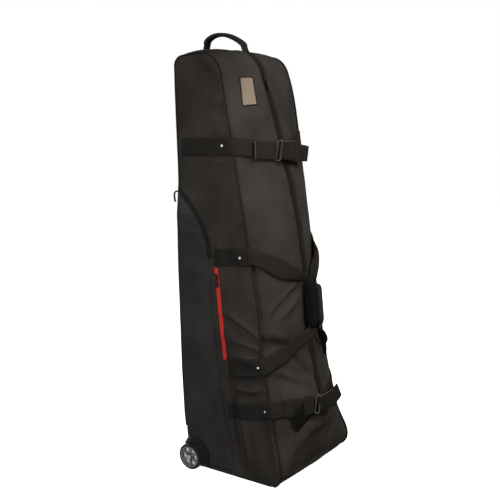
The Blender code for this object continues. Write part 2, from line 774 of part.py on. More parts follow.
def buckle_frame(z_seam):
    """Where a buckle sits: its matrix has +X along the strap and -Y outwards, at the buckle's left end."""
    left = front_point(BUCKLE_LEFT_X, z_seam - STRAP_DROOP * 0.6, BUCKLE_STANDOFF + BUCKLE_T / 2)
    right = front_point(BUCKLE_RIGHT_X, z_seam - STRAP_DROOP, BUCKLE_STANDOFF + BUCKLE_T / 2)
    along = (right - left).normalized()
    out = (FRONT_OUT - along * FRONT_OUT.dot(along)).normalized()
    up = along.cross(-out)
    matrix = Matrix((along, -out, up)).transposed().to_4x4()
    matrix.translation = left
    return matrix


def plate(length, width, thickness, taper):
    """A flat moulding from x = 0: rounded edges, its right end narrowed by taper."""
    bm = bmesh.new()
    for v in box(bm, (0.0, -thickness / 2, -width / 2), (length, thickness / 2, width / 2)):
        if v.co.x > length / 2:
            v.co.z *= taper
    bmesh.ops.bevel(bm, geom=bm.edges[:], offset=0.002, segments=2, affect="EDGES", profile=0.5)
    return bm


def add_buckle(prefix, z_seam):
    """A side-release buckle: socket half, ladder-lock half and the sprung arms between them."""
    place = buckle_frame(z_seam)
    mouth = FEMALE_L
    socket = plate(FEMALE_L, FEMALE_W, BUCKLE_T, 0.94)
    hollow = bmesh.new()
    inside = BUCKLE_T / 2 - BUCKLE_WALL
    reach = ARM_L + 0.004
    box(hollow, (mouth - reach, -inside, -0.023), (mouth + 0.01, inside, 0.023))
    box(hollow, (mouth - reach, -inside, -0.05), (mouth - reach + 0.016, inside, 0.05))
    bar = 0.006
    box(hollow, (bar, -BUCKLE_T, -WEB_W / 2 - 0.001), (bar + SLOT_W, BUCKLE_T, WEB_W / 2 + 0.001))
    hollow = merge_boxes(hollow)
    socket = carve(socket, hollow, "DIFFERENCE")
    socket.transform(place)
    part(prefix + "_buckle_socket", socket, "moulded", hinge_line(-1))

    lock = plate(MALE_L, FEMALE_W, BUCKLE_T - 0.002, 1.0)
    slots = bmesh.new()
    for x in (0.012, 0.012 + SLOT_W + 0.004):
        box(slots, (x, -BUCKLE_T, -WEB_W / 2 - 0.001), (x + SLOT_W, BUCKLE_T, WEB_W / 2 + 0.001))
    lock = carve(lock, slots, "DIFFERENCE")
    lock.transform(place @ Matrix.Translation((mouth + CLEAR, 0, 0)))
    part(prefix + "_buckle_lock", lock, "moulded", place @ Vector((mouth, 0, 0)))

    arms = arm_fork()
    arms.transform(place @ Matrix.Translation((mouth, 0, 0)))
    part(prefix + "_buckle_arms", arms, "moulded", place @ Vector((mouth, 0, 0)))


def merge_boxes(bm):
    """Fuse overlapping boxes of a cutter into one closed body."""
    bmesh.ops.recalc_face_normals(bm, faces=bm.faces)
    islands, left = [], set(bm.verts)
    while left:
        stack, group = [left.pop()], []
        while stack:
            v = stack.pop()
            group.append(v)
            for e in v.link_edges:
                o = e.other_vert(v)
                if o in left:
                    left.remove(o)
                    stack.append(o)
        islands.append(group)
    pieces = []
    for group in islands:
        piece = bm.copy()
        keep = {v.index for v in group}
        piece.verts.ensure_lookup_table()
        bmesh.ops.delete(piece, geom=[v for v in piece.verts if v.index not in keep], context="VERTS")
        pieces.append(piece)
    bm.free()
    whole = pieces[0]
    for piece in pieces[1:]:
        whole = carve(whole, piece, "UNION")
    return whole


def arm_fork():
    """The two sprung arms and the guide rib of the ladder-lock half, flat at the buckle's mid plane."""
    half = 0.0215
    tip = -ARM_L
    points = [(-CLEAR, half - 0.003), (-CLEAR, -half + 0.003), (tip + 0.010, -half + 0.001),
              (tip + 0.008, -half - 0.003), (tip, -half + 0.002), (tip + 0.002, -half + ARM_W),
              (-0.008, -half + ARM_W + 0.002), (-0.008, -0.003), (tip + 0.004, -0.002),
              (tip + 0.004, 0.002), (-0.008, 0.003), (-0.008, half - ARM_W - 0.002),
              (tip + 0.002, half - ARM_W), (tip, half - 0.002), (tip + 0.008, half + 0.003),
              (tip + 0.010, half - 0.001)]
    bm = bmesh.new()
    face = bm.faces.new([bm.verts.new((x, -ARM_T / 2, z)) for x, z in points])
    grown = bmesh.ops.extrude_face_region(bm, geom=[face])["geom"]
    verts = [g for g in grown if isinstance(g, bmesh.types.BMVert)]
    bmesh.ops.translate(bm, vec=(0, ARM_T, 0), verts=verts)
    bmesh.ops.recalc_face_normals(bm, faces=bm.faces)
    return bm


def add_strap(prefix, z_seam):
    """The free runs of one compression strap: left into the socket, right into the ladder lock."""
    place = buckle_frame(z_seam)
    across = place.to_3x3() @ Vector((0, 0, 1))
    corner_x = HALF_WIDTH - HINGE_MARGIN
    start = front_point(-corner_x, z_seam, WEB_LIFT)
    end = place @ Vector((-3 * CLEAR, 0, 0))
    path = [(start, skin_up(-corner_x, z_seam)), (start.lerp(end, 0.5), across), (end, across)]
    thicken(part(prefix + "_strap_left", ribbon(path, (0, -1, 0)), "webbing", hinge_line(-1)), WEB_T, 0.0)

    bend = WEB_T * 1.4
    fold = place @ Vector((FEMALE_L + MALE_L + 4 * CLEAR + bend + WEB_T / 2, 0, 0))
    z_fold = z_seam - STRAP_DROOP
    rise = (fold - front_point(fold.x, z_fold)).dot(FRONT_OUT) - bend - WEB_LIFT
    path = []
    for t in span(0.0, 1.0, 8)[:-1]:
        x = corner_x + (fold.x - corner_x) * t
        z = z_seam - STRAP_DROOP * t
        path.append((front_point(x, z, WEB_LIFT + rise * t), skin_up(x, z).lerp(across, t)))
    for angle in span(-80, 80, 5):
        a = math.radians(angle)
        path.append((fold + Vector((-math.cos(a) * bend, 0, 0)) + FRONT_OUT * math.sin(a) * bend, across))
    for t in (0.35, 0.7, 1.0):
        away = Vector((TAIL_L * t, 0, 0)) + FRONT_OUT * (bend + TAIL_LIFT * t)
        path.append((fold + away, across))
    thicken(part(prefix + "_strap_right", ribbon(path, (0, -1, 0)), "webbing", hinge_line(1)), WEB_T, 0.0)


def add_card_window():
    """The name-card window: a thin framed pane laid on the swollen front of the cap."""
    columns = span(CARD_X - CARD_W / 2, CARD_X + CARD_W / 2, 5)
    rows = [gusset_row(front_station(z), front_swell(z), columns, CLEAR)
            for z in span(HEIGHT - CARD_DROP - CARD_H, HEIGHT - CARD_DROP, 5)]
    thicken(part("card_window", loft(rows, (0, -1, 0)), "window"), CARD_T, 1.0)


def crown_z(depth):
    """Height of the cap's middle line at a depth forward of the back seam."""
    line = [(p + n * swell) for (p, n), swell in cap_stations()]
    for one, two in zip(line, line[1:]):
        if one.x <= BACK_Y - depth <= two.x and one.y > CAP_SKIRT:
            return one.y + (two.y - one.y) * (BACK_Y - depth - one.x) / (two.x - one.x)
    return CROWN_Z


def handle_axis():
    """A point on the line through the top handle's two feet."""
    return Vector((0.0, BACK_Y - (HANDLE_BACK + HANDLE_FRONT) / 2, CROWN_Z))


def add_top_handle():
    """A stiff webbing bow over the top, held by two sewn webbing legs."""
    middle = BACK_Y - (HANDLE_BACK + HANDLE_FRONT) / 2
    half = (HANDLE_FRONT - HANDLE_BACK) / 2
    shoulder = CROWN_Z + HANDLE_SHOULDER_RISE
    rise = HANDLE_RISE - HANDLE_T / 2 - HANDLE_SHOULDER_RISE
    path = [(middle + half * math.cos(a), shoulder + rise * math.sin(a))
            for a in span(0.0, math.pi, 13)]
    rows = [[(x, y, z) for x in (-HANDLE_W / 2, HANDLE_W / 2)] for y, z in path]
    thicken(part("top_handle_grip", loft(rows, (0, 0, 1)), "webbing", handle_axis()), HANDLE_T, 0.0)
    for name, depth in (("top_handle_leg_back", HANDLE_BACK), ("top_handle_leg_front", HANDLE_FRONT)):
        foot = max(crown_z(depth + LEG_T / 2), crown_z(depth - LEG_T / 2)) + 2 * CLEAR
        head = shoulder - HANDLE_SEAT
        bm = bmesh.new()
        y = BACK_Y - depth
        box(bm, (-HANDLE_W / 2, y - LEG_T / 2, foot), (HANDLE_W / 2, y + LEG_T / 2, head))
        part(name, bm, "webbing")


def turned(profile, centre, steps):
    """A solid of revolution about the X direction: profile holds closed (x, radius) points."""
    bm = bmesh.new()
    verts = [bm.verts.new((x, 0.0, r)) for x, r in profile]
    edges = [bm.edges.new((a, b)) for a, b in zip(verts, verts[1:] + verts[:1])]
    bmesh.ops.spin(bm, geom=verts + edges, cent=(0, 0, 0), axis=(1, 0, 0),
                   angle=2 * math.pi, steps=steps, use_merge=True)
    bmesh.ops.remove_doubles(bm, verts=bm.verts, dist=0.000005)
    bmesh.ops.recalc_face_normals(bm, faces=bm.faces)
    bmesh.ops.translate(bm, vec=centre, verts=bm.verts)
    return bm


def add_wheel(label, side):
    """Tyre, spoked hub and sealed bearings, running on a stub axle."""
    inner, outer = side * WHEEL_INNER_X, side * (WHEEL_INNER_X + WHEEL_W)
    centre = Vector((0.0, AXLE_Y, AXLE_Z))
    pivot = Vector(((inner + outer) / 2, AXLE_Y, AXLE_Z))
    shoulder = 0.006
    inset = side * shoulder * 0.6
    tyre = [(inner, TYRE_BORE_R), (inner, WHEEL_R - shoulder), (inner + inset, WHEEL_R - 0.001),
            (pivot.x, WHEEL_R), (outer - inset, WHEEL_R - 0.001),
            (outer, WHEEL_R - shoulder), (outer, TYRE_BORE_R)]
    part("tyre_" + label, turned(tyre, centre, 32), "rubber", pivot)
    seat = BEARING_R + CLEAR
    dish = side * HUB_DISH
    hub = [(inner + dish, seat), (inner + dish, HUB_R - 0.004), (inner, HUB_R - 0.004), (inner, HUB_R),
           (outer, HUB_R), (outer, HUB_R - 0.004), (outer - dish, HUB_R - 0.005), (outer - dish / 2, seat)]
    hub_bm = turned(hub, centre, 32)
    for i in range(HUB_SPOKES):
        a = 2 * math.pi * i / HUB_SPOKES
        hole = bmesh.new()
        bmesh.ops.create_cone(hole, cap_ends=True, segments=10, radius1=HUB_HOLE_R, radius2=HUB_HOLE_R,
                              depth=WHEEL_W * 3)
        hole.transform(Matrix.Translation((pivot.x, AXLE_Y + HUB_HOLE_RING * math.cos(a),
                                           AXLE_Z + HUB_HOLE_RING * math.sin(a)))
                       @ Matrix.Rotation(math.pi / 2, 4, "Y"))
        hub_bm = carve(hub_bm, hole, "DIFFERENCE")
    part("hub_" + label, hub_bm, "silver", pivot)
    face = outer - dish / 2
    rear = face - side * BEARING_W
    ring = [(rear, BEARING_BORE_R), (rear, BEARING_R), (face, BEARING_R), (face, BEARING_BORE_R)]
    part("bearing_" + label, turned(ring, centre, 20), "steel", pivot)


def add_axle(label, side):
    """A headed stub axle screwed into the wheel housing's boss."""
    foot = side * (WHEEL_INNER_X - 2 * CLEAR - AXLE_SEAT)
    head = side * (WHEEL_INNER_X + WHEEL_W + CLEAR)
    tip = head + side * AXLE_HEAD_T
    profile = [(foot, 0.0), (foot, AXLE_R), (head, AXLE_R), (head, AXLE_HEAD_R),
               (tip, AXLE_HEAD_R * 0.8), (tip, 0.0)]
    part("axle_" + label, turned(profile, Vector((0.0, AXLE_Y, AXLE_Z)), 20), "steel")


def add_housing(label, side):
    """The moulded corner that carries one wheel: a stepped arch, a side plate and the axle boss."""
    seat_x = side_x(0.0) + CLEAR
    profile = [(seat_x, ARCH_R)]
    profile.append((ARCH_OUTER_X, ARCH_R))
    for step in range(ARCH_STEPS):
        x = ARCH_OUTER_X - ARCH_STEP_X * step
        radius = ARCH_R + ARCH_STEP_R * (step + 1)
        profile += [(x, radius - 0.0015), (x - ARCH_STEP_X * 0.35, radius)]
    profile.append((seat_x, ARCH_R + ARCH_STEP_R * ARCH_STEPS))
    bm = bmesh.new()
    face = bm.faces.new([bm.verts.new((side * x, -r, 0.0)) for x, r in profile])
    tilt = Matrix.Rotation(math.radians(-ARCH_FROM), 4, "X")
    bmesh.ops.transform(bm, matrix=tilt, verts=bm.verts)
    bmesh.ops.spin(bm, geom=[face] + face.edges[:] + face.verts[:], cent=(0, 0, 0), axis=(-1, 0, 0),
                   angle=math.radians(ARCH_TO - ARCH_FROM), steps=18)
    bmesh.ops.recalc_face_normals(bm, faces=bm.faces)
    disc = bmesh.new()
    bmesh.ops.create_cone(disc, cap_ends=True, segments=40, radius1=ARCH_R + ARCH_STEP_R,
                          radius2=ARCH_R + ARCH_STEP_R, depth=HOUSING_PLATE_T)
    disc.transform(Matrix.Translation((side * (seat_x + CLEAR + HOUSING_PLATE_T / 2), 0, 0))
                   @ Matrix.Rotation(math.pi / 2, 4, "Y"))
    trim = bmesh.new()
    reach = WHEEL_R * 3
    box(trim, (-1.0, BACK_BOTTOM_R - 0.001, -reach), (1.0, reach, reach))
    disc = carve(disc, trim, "DIFFERENCE")
    floor = bmesh.new()
    box(floor, (-1.0, -reach, -reach), (1.0, reach, 0.004 - AXLE_Z))
    disc = carve(disc, floor, "DIFFERENCE")
    whole = carve(bm, disc, "UNION")
    root, tip = side * (seat_x + HOUSING_PLATE_T / 3), side * (WHEEL_INNER_X - 2 * CLEAR)
    pit, bore = tip - side * (AXLE_SEAT + CLEAR), AXLE_R + CLEAR
    boss = [(root, 0.0), (root, BOSS_R), (tip, BOSS_R), (tip, bore), (pit, bore), (pit, 0.0)]
    whole = carve(whole, turned(boss, Vector(), 20), "UNION")
    bmesh.ops.translate(whole, vec=(0.0, AXLE_Y, AXLE_Z), verts=whole.verts)
    part("wheel_housing_" + label, whole, "moulded")


def main():
    add_base()
    add_kick_panel()
    add_top_cap()
    add_back_panel()
    add_foam_pad()
    add_pocket()
    add_arc_tape()
    add_arc_slider()
    add_red_zip()
    add_top_tape()
    add_main_slider()
    add_card_window()
    add_top_handle()
    for label, side in (("left", -1), ("right", 1)):
        add_side_panel("side_panel_" + label, side)
        add_piping("piping_" + label, side)
        add_flap("front_flap_" + label, side)
        add_zip_tape("zip_tape_" + label, side)
        add_haul_loop("haul_" + label, side)
        upper_run = BACK_Y - front_y(UPPER_STRAP_Z) - SEAM_MARGIN - UPPER_STRAP_BACK
        lower_run = BACK_Y - front_y(LOWER_STRAP_Z) - SEAM_MARGIN - LOWER_STRAP_BACK
        add_side_webbing("upper_strap_sewn_" + label, side, UPPER_STRAP_Z, UPPER_STRAP_TILT, upper_run)
        add_side_webbing("lower_strap_sewn_" + label, side, LOWER_STRAP_Z, LOWER_STRAP_TILT, lower_run)
        add_side_webbing("haul_patch_upper_" + label, side, LOOP_HIGH_Z, PATCH_TILT / 2, PATCH_LENGTH)
        add_side_webbing("haul_patch_lower_" + label, side, LOOP_LOW_Z, PATCH_TILT, PATCH_LENGTH)
        add_wheel(label, side)
        add_axle(label, side)
        add_housing(label, side)
    for prefix, z_seam in (("upper", UPPER_STRAP_Z), ("lower", LOWER_STRAP_Z)):
        add_buckle(prefix, z_seam)
        add_strap(prefix, z_seam)


clear_scene()
PARTS = new_collection("golf_travel_case")
CUTTERS = new_collection("cutters")
main()
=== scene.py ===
# %% [markdown]
# # Golf travel case, dressed
# A soft upright case for a golf bag. The CAD parts come in as a fixed frame with working joints.
# This script sews cloth, webbing and zips over that frame and finishes the moulded parts.

# %% Load the frame
import math

import bmesh
import bpy
import numpy as np
from mathutils import Matrix, Vector, noise


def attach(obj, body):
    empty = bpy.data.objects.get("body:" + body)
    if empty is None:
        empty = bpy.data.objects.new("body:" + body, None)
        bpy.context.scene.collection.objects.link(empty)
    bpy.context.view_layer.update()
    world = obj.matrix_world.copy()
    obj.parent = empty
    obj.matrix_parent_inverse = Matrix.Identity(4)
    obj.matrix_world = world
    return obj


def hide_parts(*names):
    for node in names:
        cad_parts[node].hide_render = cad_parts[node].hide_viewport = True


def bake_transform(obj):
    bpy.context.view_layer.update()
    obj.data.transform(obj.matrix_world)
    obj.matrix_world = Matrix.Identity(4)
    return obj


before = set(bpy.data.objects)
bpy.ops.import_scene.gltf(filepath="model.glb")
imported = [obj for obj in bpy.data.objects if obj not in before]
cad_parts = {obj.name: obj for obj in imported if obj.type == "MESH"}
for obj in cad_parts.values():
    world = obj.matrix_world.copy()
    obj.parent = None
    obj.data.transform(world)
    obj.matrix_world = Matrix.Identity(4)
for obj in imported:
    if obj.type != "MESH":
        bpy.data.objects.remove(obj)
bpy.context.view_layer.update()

# %% [markdown]
# ## Camera
# The camera was fitted to the photograph: it stands at chest height, in front of the case and to its left.
# A long lens keeps the upright edges nearly parallel.

# %% Camera
BACK_Y = 0.1745
CAMERA_SPOT = Vector((-1.9349, -1.5589 + BACK_Y, 1.0939))
CAMERA_YAW = math.radians(53.55)
CAMERA_PITCH = math.radians(10.59)
CAMERA_ROLL = math.radians(-1.935)
FOCAL_PIXELS = 811.97
IMAGE_PIXELS = 500

camera = bpy.data.objects.new("camera", bpy.data.cameras.new("camera"))
bpy.context.scene.collection.objects.link(camera)
camera.data.sensor_width = 36.0
camera.data.sensor_height = 36.0
camera.data.sensor_fit = "HORIZONTAL"
camera.data.lens = 36.0 * FOCAL_PIXELS / IMAGE_PIXELS
look = Vector((math.sin(CAMERA_YAW) * math.cos(CAMERA_PITCH),
               math.cos(CAMERA_YAW) * math.cos(CAMERA_PITCH), -math.sin(CAMERA_PITCH)))
right = Vector((math.cos(CAMERA_YAW), -math.sin(CAMERA_YAW), 0.0))
up = right.cross(look)
turned_right = right * math.cos(CAMERA_ROLL) + up * math.sin(CAMERA_ROLL)
turned_up = up * math.cos(CAMERA_ROLL) - right * math.sin(CAMERA_ROLL)
pose = Matrix((turned_right, turned_up, -look)).transposed().to_4x4()
pose.translation = CAMERA_SPOT
camera.matrix_world = pose
bpy.context.scene.camera = camera
bpy.context.scene.view_settings.view_transform = "Standard"
print("lens", round(camera.data.lens, 1), "mm")

# %% [markdown]
# ## Side seam
# Two side panels give the case its shape, and one long strip of cloth is sewn round their edge. Seen from the
# side that edge is a tall wedge with rounded corners. The outline is kept as points with a running length,
# so that any place on the strip is found by how far along the seam it lies.

# %% Outline of the side seam
HEIGHT = 1.220
HALF_WIDTH = 0.165
BASE_FLARE = 0.015
FLARE_HEIGHT = 0.160
FRONT_FOOT_Y = -0.1745
FRONT_HEAD_Y = 0.0085
LEAN = math.atan((FRONT_HEAD_Y - FRONT_FOOT_Y) / HEIGHT)
FRONT_UP = Vector((0.0, math.sin(LEAN), math.cos(LEAN)))
FRONT_OUT = Vector((0.0, -math.cos(LEAN), math.sin(LEAN)))
CORNERS = [((FRONT_FOOT_Y, 0.0), 0.040), ((FRONT_HEAD_Y, HEIGHT), 0.070),
           ((BACK_Y, HEIGHT), 0.035), ((BACK_Y, 0.0), 0.037)]
TURN_STEPS = 14
SIDES = (("left", -1), ("right", 1))


def unit(vector):
    return np.asarray(vector, float) / np.linalg.norm(vector)


def rounded_outline():
    """Points and outward normals round the side seam: four rounded corners with straight runs between."""
    points, normals = [], []
    for i, (corner, radius) in enumerate(CORNERS):
        corner = np.array(corner)
        behind = unit(np.array(CORNERS[i - 1][0]) - corner)
        ahead = unit(np.array(CORNERS[(i + 1) % 4][0]) - corner)
        half = math.acos(behind @ ahead) / 2
        centre = corner + unit(behind + ahead) * radius / math.sin(half)
        first = corner + behind * radius / math.tan(half) - centre
        last = corner + ahead * radius / math.tan(half) - centre
        turn = math.pi - 2 * half
        for t in np.linspace(0, 1, TURN_STEPS + 1):
            spoke = (math.sin((1 - t) * turn) * first + math.sin(t * turn) * last) / math.sin(turn)
            points.append(centre + spoke)
            normals.append(spoke / radius)
    return np.array(points + points[:1]), np.array(normals + normals[:1])


SEAM, SEAM_OUT = rounded_outline()
RUN = np.concatenate([[0.0], np.cumsum(np.linalg.norm(np.diff(SEAM, axis=0), axis=1))])
CREST = 2 * (TURN_STEPS + 1)


def front_run(z):
    """How far along the seam a height on the front lies."""
    return np.interp(z, SEAM[:CREST, 1], RUN[:CREST])


def back_run(z):
    return np.interp(-np.asarray(z, float), -SEAM[CREST:-1, 1], RUN[CREST:-1])


TOP_FRONT, TOP_BACK = RUN[CREST - 1], RUN[CREST]
FOOT_BACK, SEAM_LENGTH = RUN[-2], RUN[-1]
print("seam length", round(SEAM_LENGTH, 3))

# %% [markdown]
# ## Posture
# A filled soft case never keeps its pattern's straight lines. The front swells between the seams, the haul loops
# draw it in at the waist and the foot spreads. Each row of the table says how far the cloth stands
# out at the left seam, the middle and the right seam, in millimetres. One shared function then places every
# panel, strap and zip, so they stay on each other.

# %% Posture of the filled case
FRONT_POSTURE = [
    (0.000, 0, 0, 0), (0.030, 0, 8, 9), (0.060, -2, 29, 13), (0.105, -4, 46, 5), (0.150, -8, 50, -6),
    (0.190, -8, 50, -11), (0.265, -11, 48, -14), (0.335, -11, 45, -15), (0.375, -18, 44, -15), (0.405, -13, 45, -14),
    (0.437, -6, 47, -13), (0.505, 0, 53, -12), (0.595, 0, 62, -12), (0.655, 0, 63, -12), (0.730, 0, 65, -9),
    (0.790, 0, 62, -5), (0.850, 0, 57, -2), (0.900, 0, 51, 0), (1.000, 0, 43, 4), (1.040, 0, 38, 5),
    (1.085, 0, 31, 5), (1.130, 0, 25, 2), (1.165, 0, 17, -4)]
BACK_POSTURE = [
    (1.190, -12, 11, -8), (1.130, -10, 10, -7), (1.050, -9, 9, -6), (0.900, -8, 8, -5), (0.800, -4, 9, -3),
    (0.600, 4, 12, 4), (0.300, 9, 12, 8), (0.120, 7, 8, 6), (0.050, 1, 2, 1)]
rows = [(float(front_run(z)), *sizes) for z, *sizes in FRONT_POSTURE]
rows += [(TOP_FRONT, 0, 5, -8), ((TOP_FRONT + TOP_BACK) / 2, -1, 10, -5), (TOP_BACK, -5, 19, -4)]
rows += [(float(back_run(z)), *sizes) for z, *sizes in BACK_POSTURE]
rows += [(FOOT_BACK, 0, 0, 0), (SEAM_LENGTH, 0, 0, 0)]
FLOOR_GAP = 0.0006
TAPE_HALF = 0.0115
ZIP_FOOT, ZIP_HEAD = float(front_run(0.098)), TOP_FRONT + 0.030
POSTURE_RUN = np.arange(0.0, SEAM_LENGTH + 0.004, 0.004)
EASE = np.hanning(17) / np.hanning(17).sum()


def eased(column):
    line = np.interp(POSTURE_RUN, [r[0] for r in rows], [r[column] / 1000 for r in rows])
    return np.convolve(np.pad(line, 8, mode="edge"), EASE, mode="valid")


POSTURE = [eased(column) for column in (1, 2, 3)]


def width_at(z, t=0.0):
    """Half the width at a height. The filled foot spreads, and most on its right."""
    spread = BASE_FLARE * np.clip(1 - np.asarray(z) / FLARE_HEIGHT, 0, 1) ** 2
    lean = 0.008 * np.exp(-((np.asarray(z) - 0.055) / 0.045) ** 2) * np.clip(t, 0, 1)
    return HALF_WIDTH + spread + lean


print("half width at the floor", round(float(width_at(0.0)), 3))

# %% [markdown]
# ## Folds
# Where the loops and straps draw the cloth in, it creases. A cloth simulation could find such folds, but these
# have to lie where the photograph shows them, so each is drawn as a line on the pattern. A crease is a groove
# with a soft lip. A tuck is a step where one side bulges over the other.

# %% Folds along lines
def nearest(px, pz, line):
    """Distance to a line of points, how far along it the nearest spot lies, and on which side of it one is."""
    line = np.array(line, float)
    lengths = np.linalg.norm(np.diff(line, axis=0), axis=1)
    best = np.full(np.shape(px), 9.0)
    spot = np.zeros(np.shape(px))
    sign = np.ones(np.shape(px))
    for i, (a, b) in enumerate(zip(line, line[1:])):
        d = b - a
        k = np.clip(((px - a[0]) * d[0] + (pz - a[1]) * d[1]) / (d @ d), 0, 1)
        ox, oz = px - a[0] - k * d[0], pz - a[1] - k * d[1]
        distance = np.hypot(ox, oz)
        near = distance < best
        best = np.where(near, distance, best)
        spot = np.where(near, (lengths[:i].sum() + k * lengths[i]) / lengths.sum(), spot)
        sign = np.where(near, np.sign(d[0] * oz - d[1] * ox), sign)
    return best, spot, sign


def crease(px, pz, line, depth, reach, side):
    """A fold pressed in along a line: steep on one side, easy on the other, with a soft lip beside it."""
    best, spot, sign = nearest(px, pz, line)
    width = np.where(sign * side > 0, reach * 1.7, reach * 0.8)
    taper = np.sin(np.pi * np.clip(spot * 0.92 + 0.04, 0, 1)) ** 0.7
    return depth * taper * (0.45 * np.exp(-((best - 2.0 * width) / width) ** 2) - np.exp(-(best / width) ** 2))


def tuck(px, pz, line, depth, reach, side):
    """A fold where one side bulges over the other: a sharp step along a line that fades on both sides."""
    best, spot, sign = nearest(px, pz, line)
    over = best * sign * side
    step = 2 / (1 + np.exp(-np.clip(over / (reach * 0.20), -40, 40))) - 1
    taper = np.sin(np.pi * np.clip(spot * 0.94 + 0.03, 0, 1)) ** 0.7
    return depth * 0.5 * taper * (step * np.exp(-(over / np.where(over > 0, reach * 2.6, reach * 3.6)) ** 2) - 0.15
                                  * np.exp(-(over / (3 * reach)) ** 2))


def ripple(px, pz, pitch, seed):
    """Slow uneven swells of cloth, from -1 to 1."""
    flat = [noise.noise((a / pitch, b / pitch, seed)) for a, b in zip(np.ravel(px), np.ravel(pz))]
    return np.reshape(flat, np.shape(px))


FOLD_DEPTH = 1.6
FRONT_FOLDS = [  # kind, line as (x, z), depth, reach, the side that is steep or stands out
    (crease, [(-0.034, 0.551), (-0.073, 0.532), (-0.105, 0.509), (-0.128, 0.488)], 0.0080, 0.009, 1),
    (crease, [(-0.030, 0.520), (-0.080, 0.477), (-0.110, 0.462)], 0.0040, 0.010, 1),
    (tuck, [(-0.158, 0.442), (-0.136, 0.424), (-0.090, 0.398)], 0.0190, 0.016, 1),
    (crease, [(-0.092, 0.372), (-0.066, 0.338), (-0.042, 0.305), (-0.022, 0.276)], 0.0080, 0.0075, 1),
    (crease, [(-0.120, 0.345), (-0.090, 0.315), (-0.060, 0.280)], 0.0030, 0.010, 1),
    (crease, [(-0.160, 0.330), (-0.110, 0.296), (-0.035, 0.252)], 0.0040, 0.010, -1),
    (tuck, [(-0.160, 0.322), (-0.142, 0.285), (-0.134, 0.236)], 0.0070, 0.009, -1),
    (crease, [(-0.154, 0.930), (-0.135, 0.915), (-0.108, 0.880)], 0.0030, 0.012, 1),
    (crease, [(-0.149, 0.700), (-0.152, 0.600), (-0.152, 0.520), (-0.150, 0.440)], 0.0060, 0.007, -1),
    (crease, [(-0.150, 0.200), (-0.148, 0.140), (-0.152, 0.070)], 0.0070, 0.011, -1),
    (tuck, [(-0.150, 0.036), (-0.118, 0.084), (-0.085, 0.108), (-0.039, 0.130), (0.023, 0.134), (0.110, 0.120)], 0.0130,
     0.045, 1),
    (crease, [(-0.090, 0.186), (-0.050, 0.160), (-0.010, 0.150)], 0.0030, 0.012, 1),
    (crease, [(0.040, 0.555), (0.084, 0.520), (0.123, 0.499)], 0.0075, 0.008, -1),
    (tuck, [(0.160, 0.440), (0.132, 0.420), (0.092, 0.396)], 0.0120, 0.011, -1),
    (tuck, [(0.092, 0.370), (0.069, 0.336), (0.045, 0.292)], 0.0090, 0.010, -1),
    (crease, [(0.160, 0.320), (0.110, 0.290), (0.040, 0.262)], 0.0040, 0.010, 1),
    (crease, [(0.150, 0.905), (0.110, 0.850), (0.095, 0.780)], 0.0030, 0.014, -1)]
print(len(FRONT_FOLDS), "folds on the front")

# %% [markdown]
# The strip round the case is now a function of two numbers: how far along the seam, and how far across. It adds the
# posture, the slow swells of stuffed cloth, fine puckers beside the seams, the folds, and a dip for the zip.

# %% The strip as a surface
STUFFING, STUFFING_REACH = 0.0035, 0.014
SEAM_SINK = 0.0008
SWELL = 0.0022
PUCKER, PUCKER_REACH, NEEDLE = 0.0016, 0.016, 0.003
ZIP_LIP, ZIP_DIP = 0.0012, 0.0026


def pocket_push(z):
    """How far the full side pocket pushes the back left seam out."""
    return 0.008 * np.clip((0.86 - np.asarray(z)) / 0.08, 0, 1) * np.clip((np.asarray(z) - 0.06) / 0.1, 0, 1)


def gusset(run, t, lift=0.0, cloth=True):
    """Points on the strip round the case: run is the place along the seam, t goes from -1 at the left to 1."""
    run, t = np.broadcast_arrays(np.asarray(run, float) % SEAM_LENGTH, np.asarray(t, float))
    y, z = np.interp(run, RUN, SEAM[:, 0]), np.interp(run, RUN, SEAM[:, 1])
    ny, nz = np.interp(run, RUN, SEAM_OUT[:, 0]), np.interp(run, RUN, SEAM_OUT[:, 1])
    left, middle, right_out = (np.interp(run, POSTURE_RUN, part) for part in POSTURE)
    out = left * (1 - t) / 2 + right_out * (1 + t) / 2 + (middle - (left + right_out) / 2) * (1 - t * t) + lift
    x = t * width_at(z, t) - pocket_push(z) * ((run > TOP_BACK) & (run < FOOT_BACK)) * np.clip(-t, 0, 1) ** 3
    if cloth:
        edge = (1 - np.abs(t)) * HALF_WIDTH
        stuffed = np.where(run < FOOT_BACK, 1.0, 0.0) * np.clip(run / 0.05, 0, 1)
        out = out + stuffed * STUFFING * (1 - np.exp(-edge / STUFFING_REACH)) - SEAM_SINK
        calm = np.clip(edge / 0.02, 0, 1) * stuffed
        out = out + calm * SWELL * ripple(x * 1.4, run, 0.085, 3.1)
        pucker = np.exp(-edge / PUCKER_REACH) * (1 - np.exp(-edge / NEEDLE)) * stuffed
        out = out + pucker * PUCKER * ripple(x * 0.5, run, 0.017, 8.4)
        pull = np.exp(-((z - 0.46) / 0.17) ** 2) * (run < TOP_FRONT)
        out = out - (0.0030 + 0.0042 * pull) * np.exp(-((edge - 0.009) / 0.0055) ** 2) * stuffed
        front = (run > front_run(0.03)) & (run < front_run(1.12))
        for fold, line, depth, reach, side in FRONT_FOLDS:
            out = out + front * fold(x, z, line, depth * FOLD_DEPTH, reach, side) * np.clip(edge / 0.006, 0.2, 1)
        along_zip = np.clip((run - ZIP_FOOT) / 0.008, 0, 1) * np.clip((ZIP_HEAD - run) / 0.008, 0, 1)
        beside = np.abs(x) - TAPE_HALF
        out = out + along_zip * (ZIP_LIP * np.exp(-((beside - 0.0045) / 0.0035) ** 2)
                                 - ZIP_DIP * np.clip(0.4 - beside / 0.004, 0, 1))
    return np.stack([x, y + ny * out, np.maximum(z + nz * out, FLOOR_GAP)], -1)


print("waist", [round(float(v), 3) for v in gusset(front_run(0.437), 0.0)])

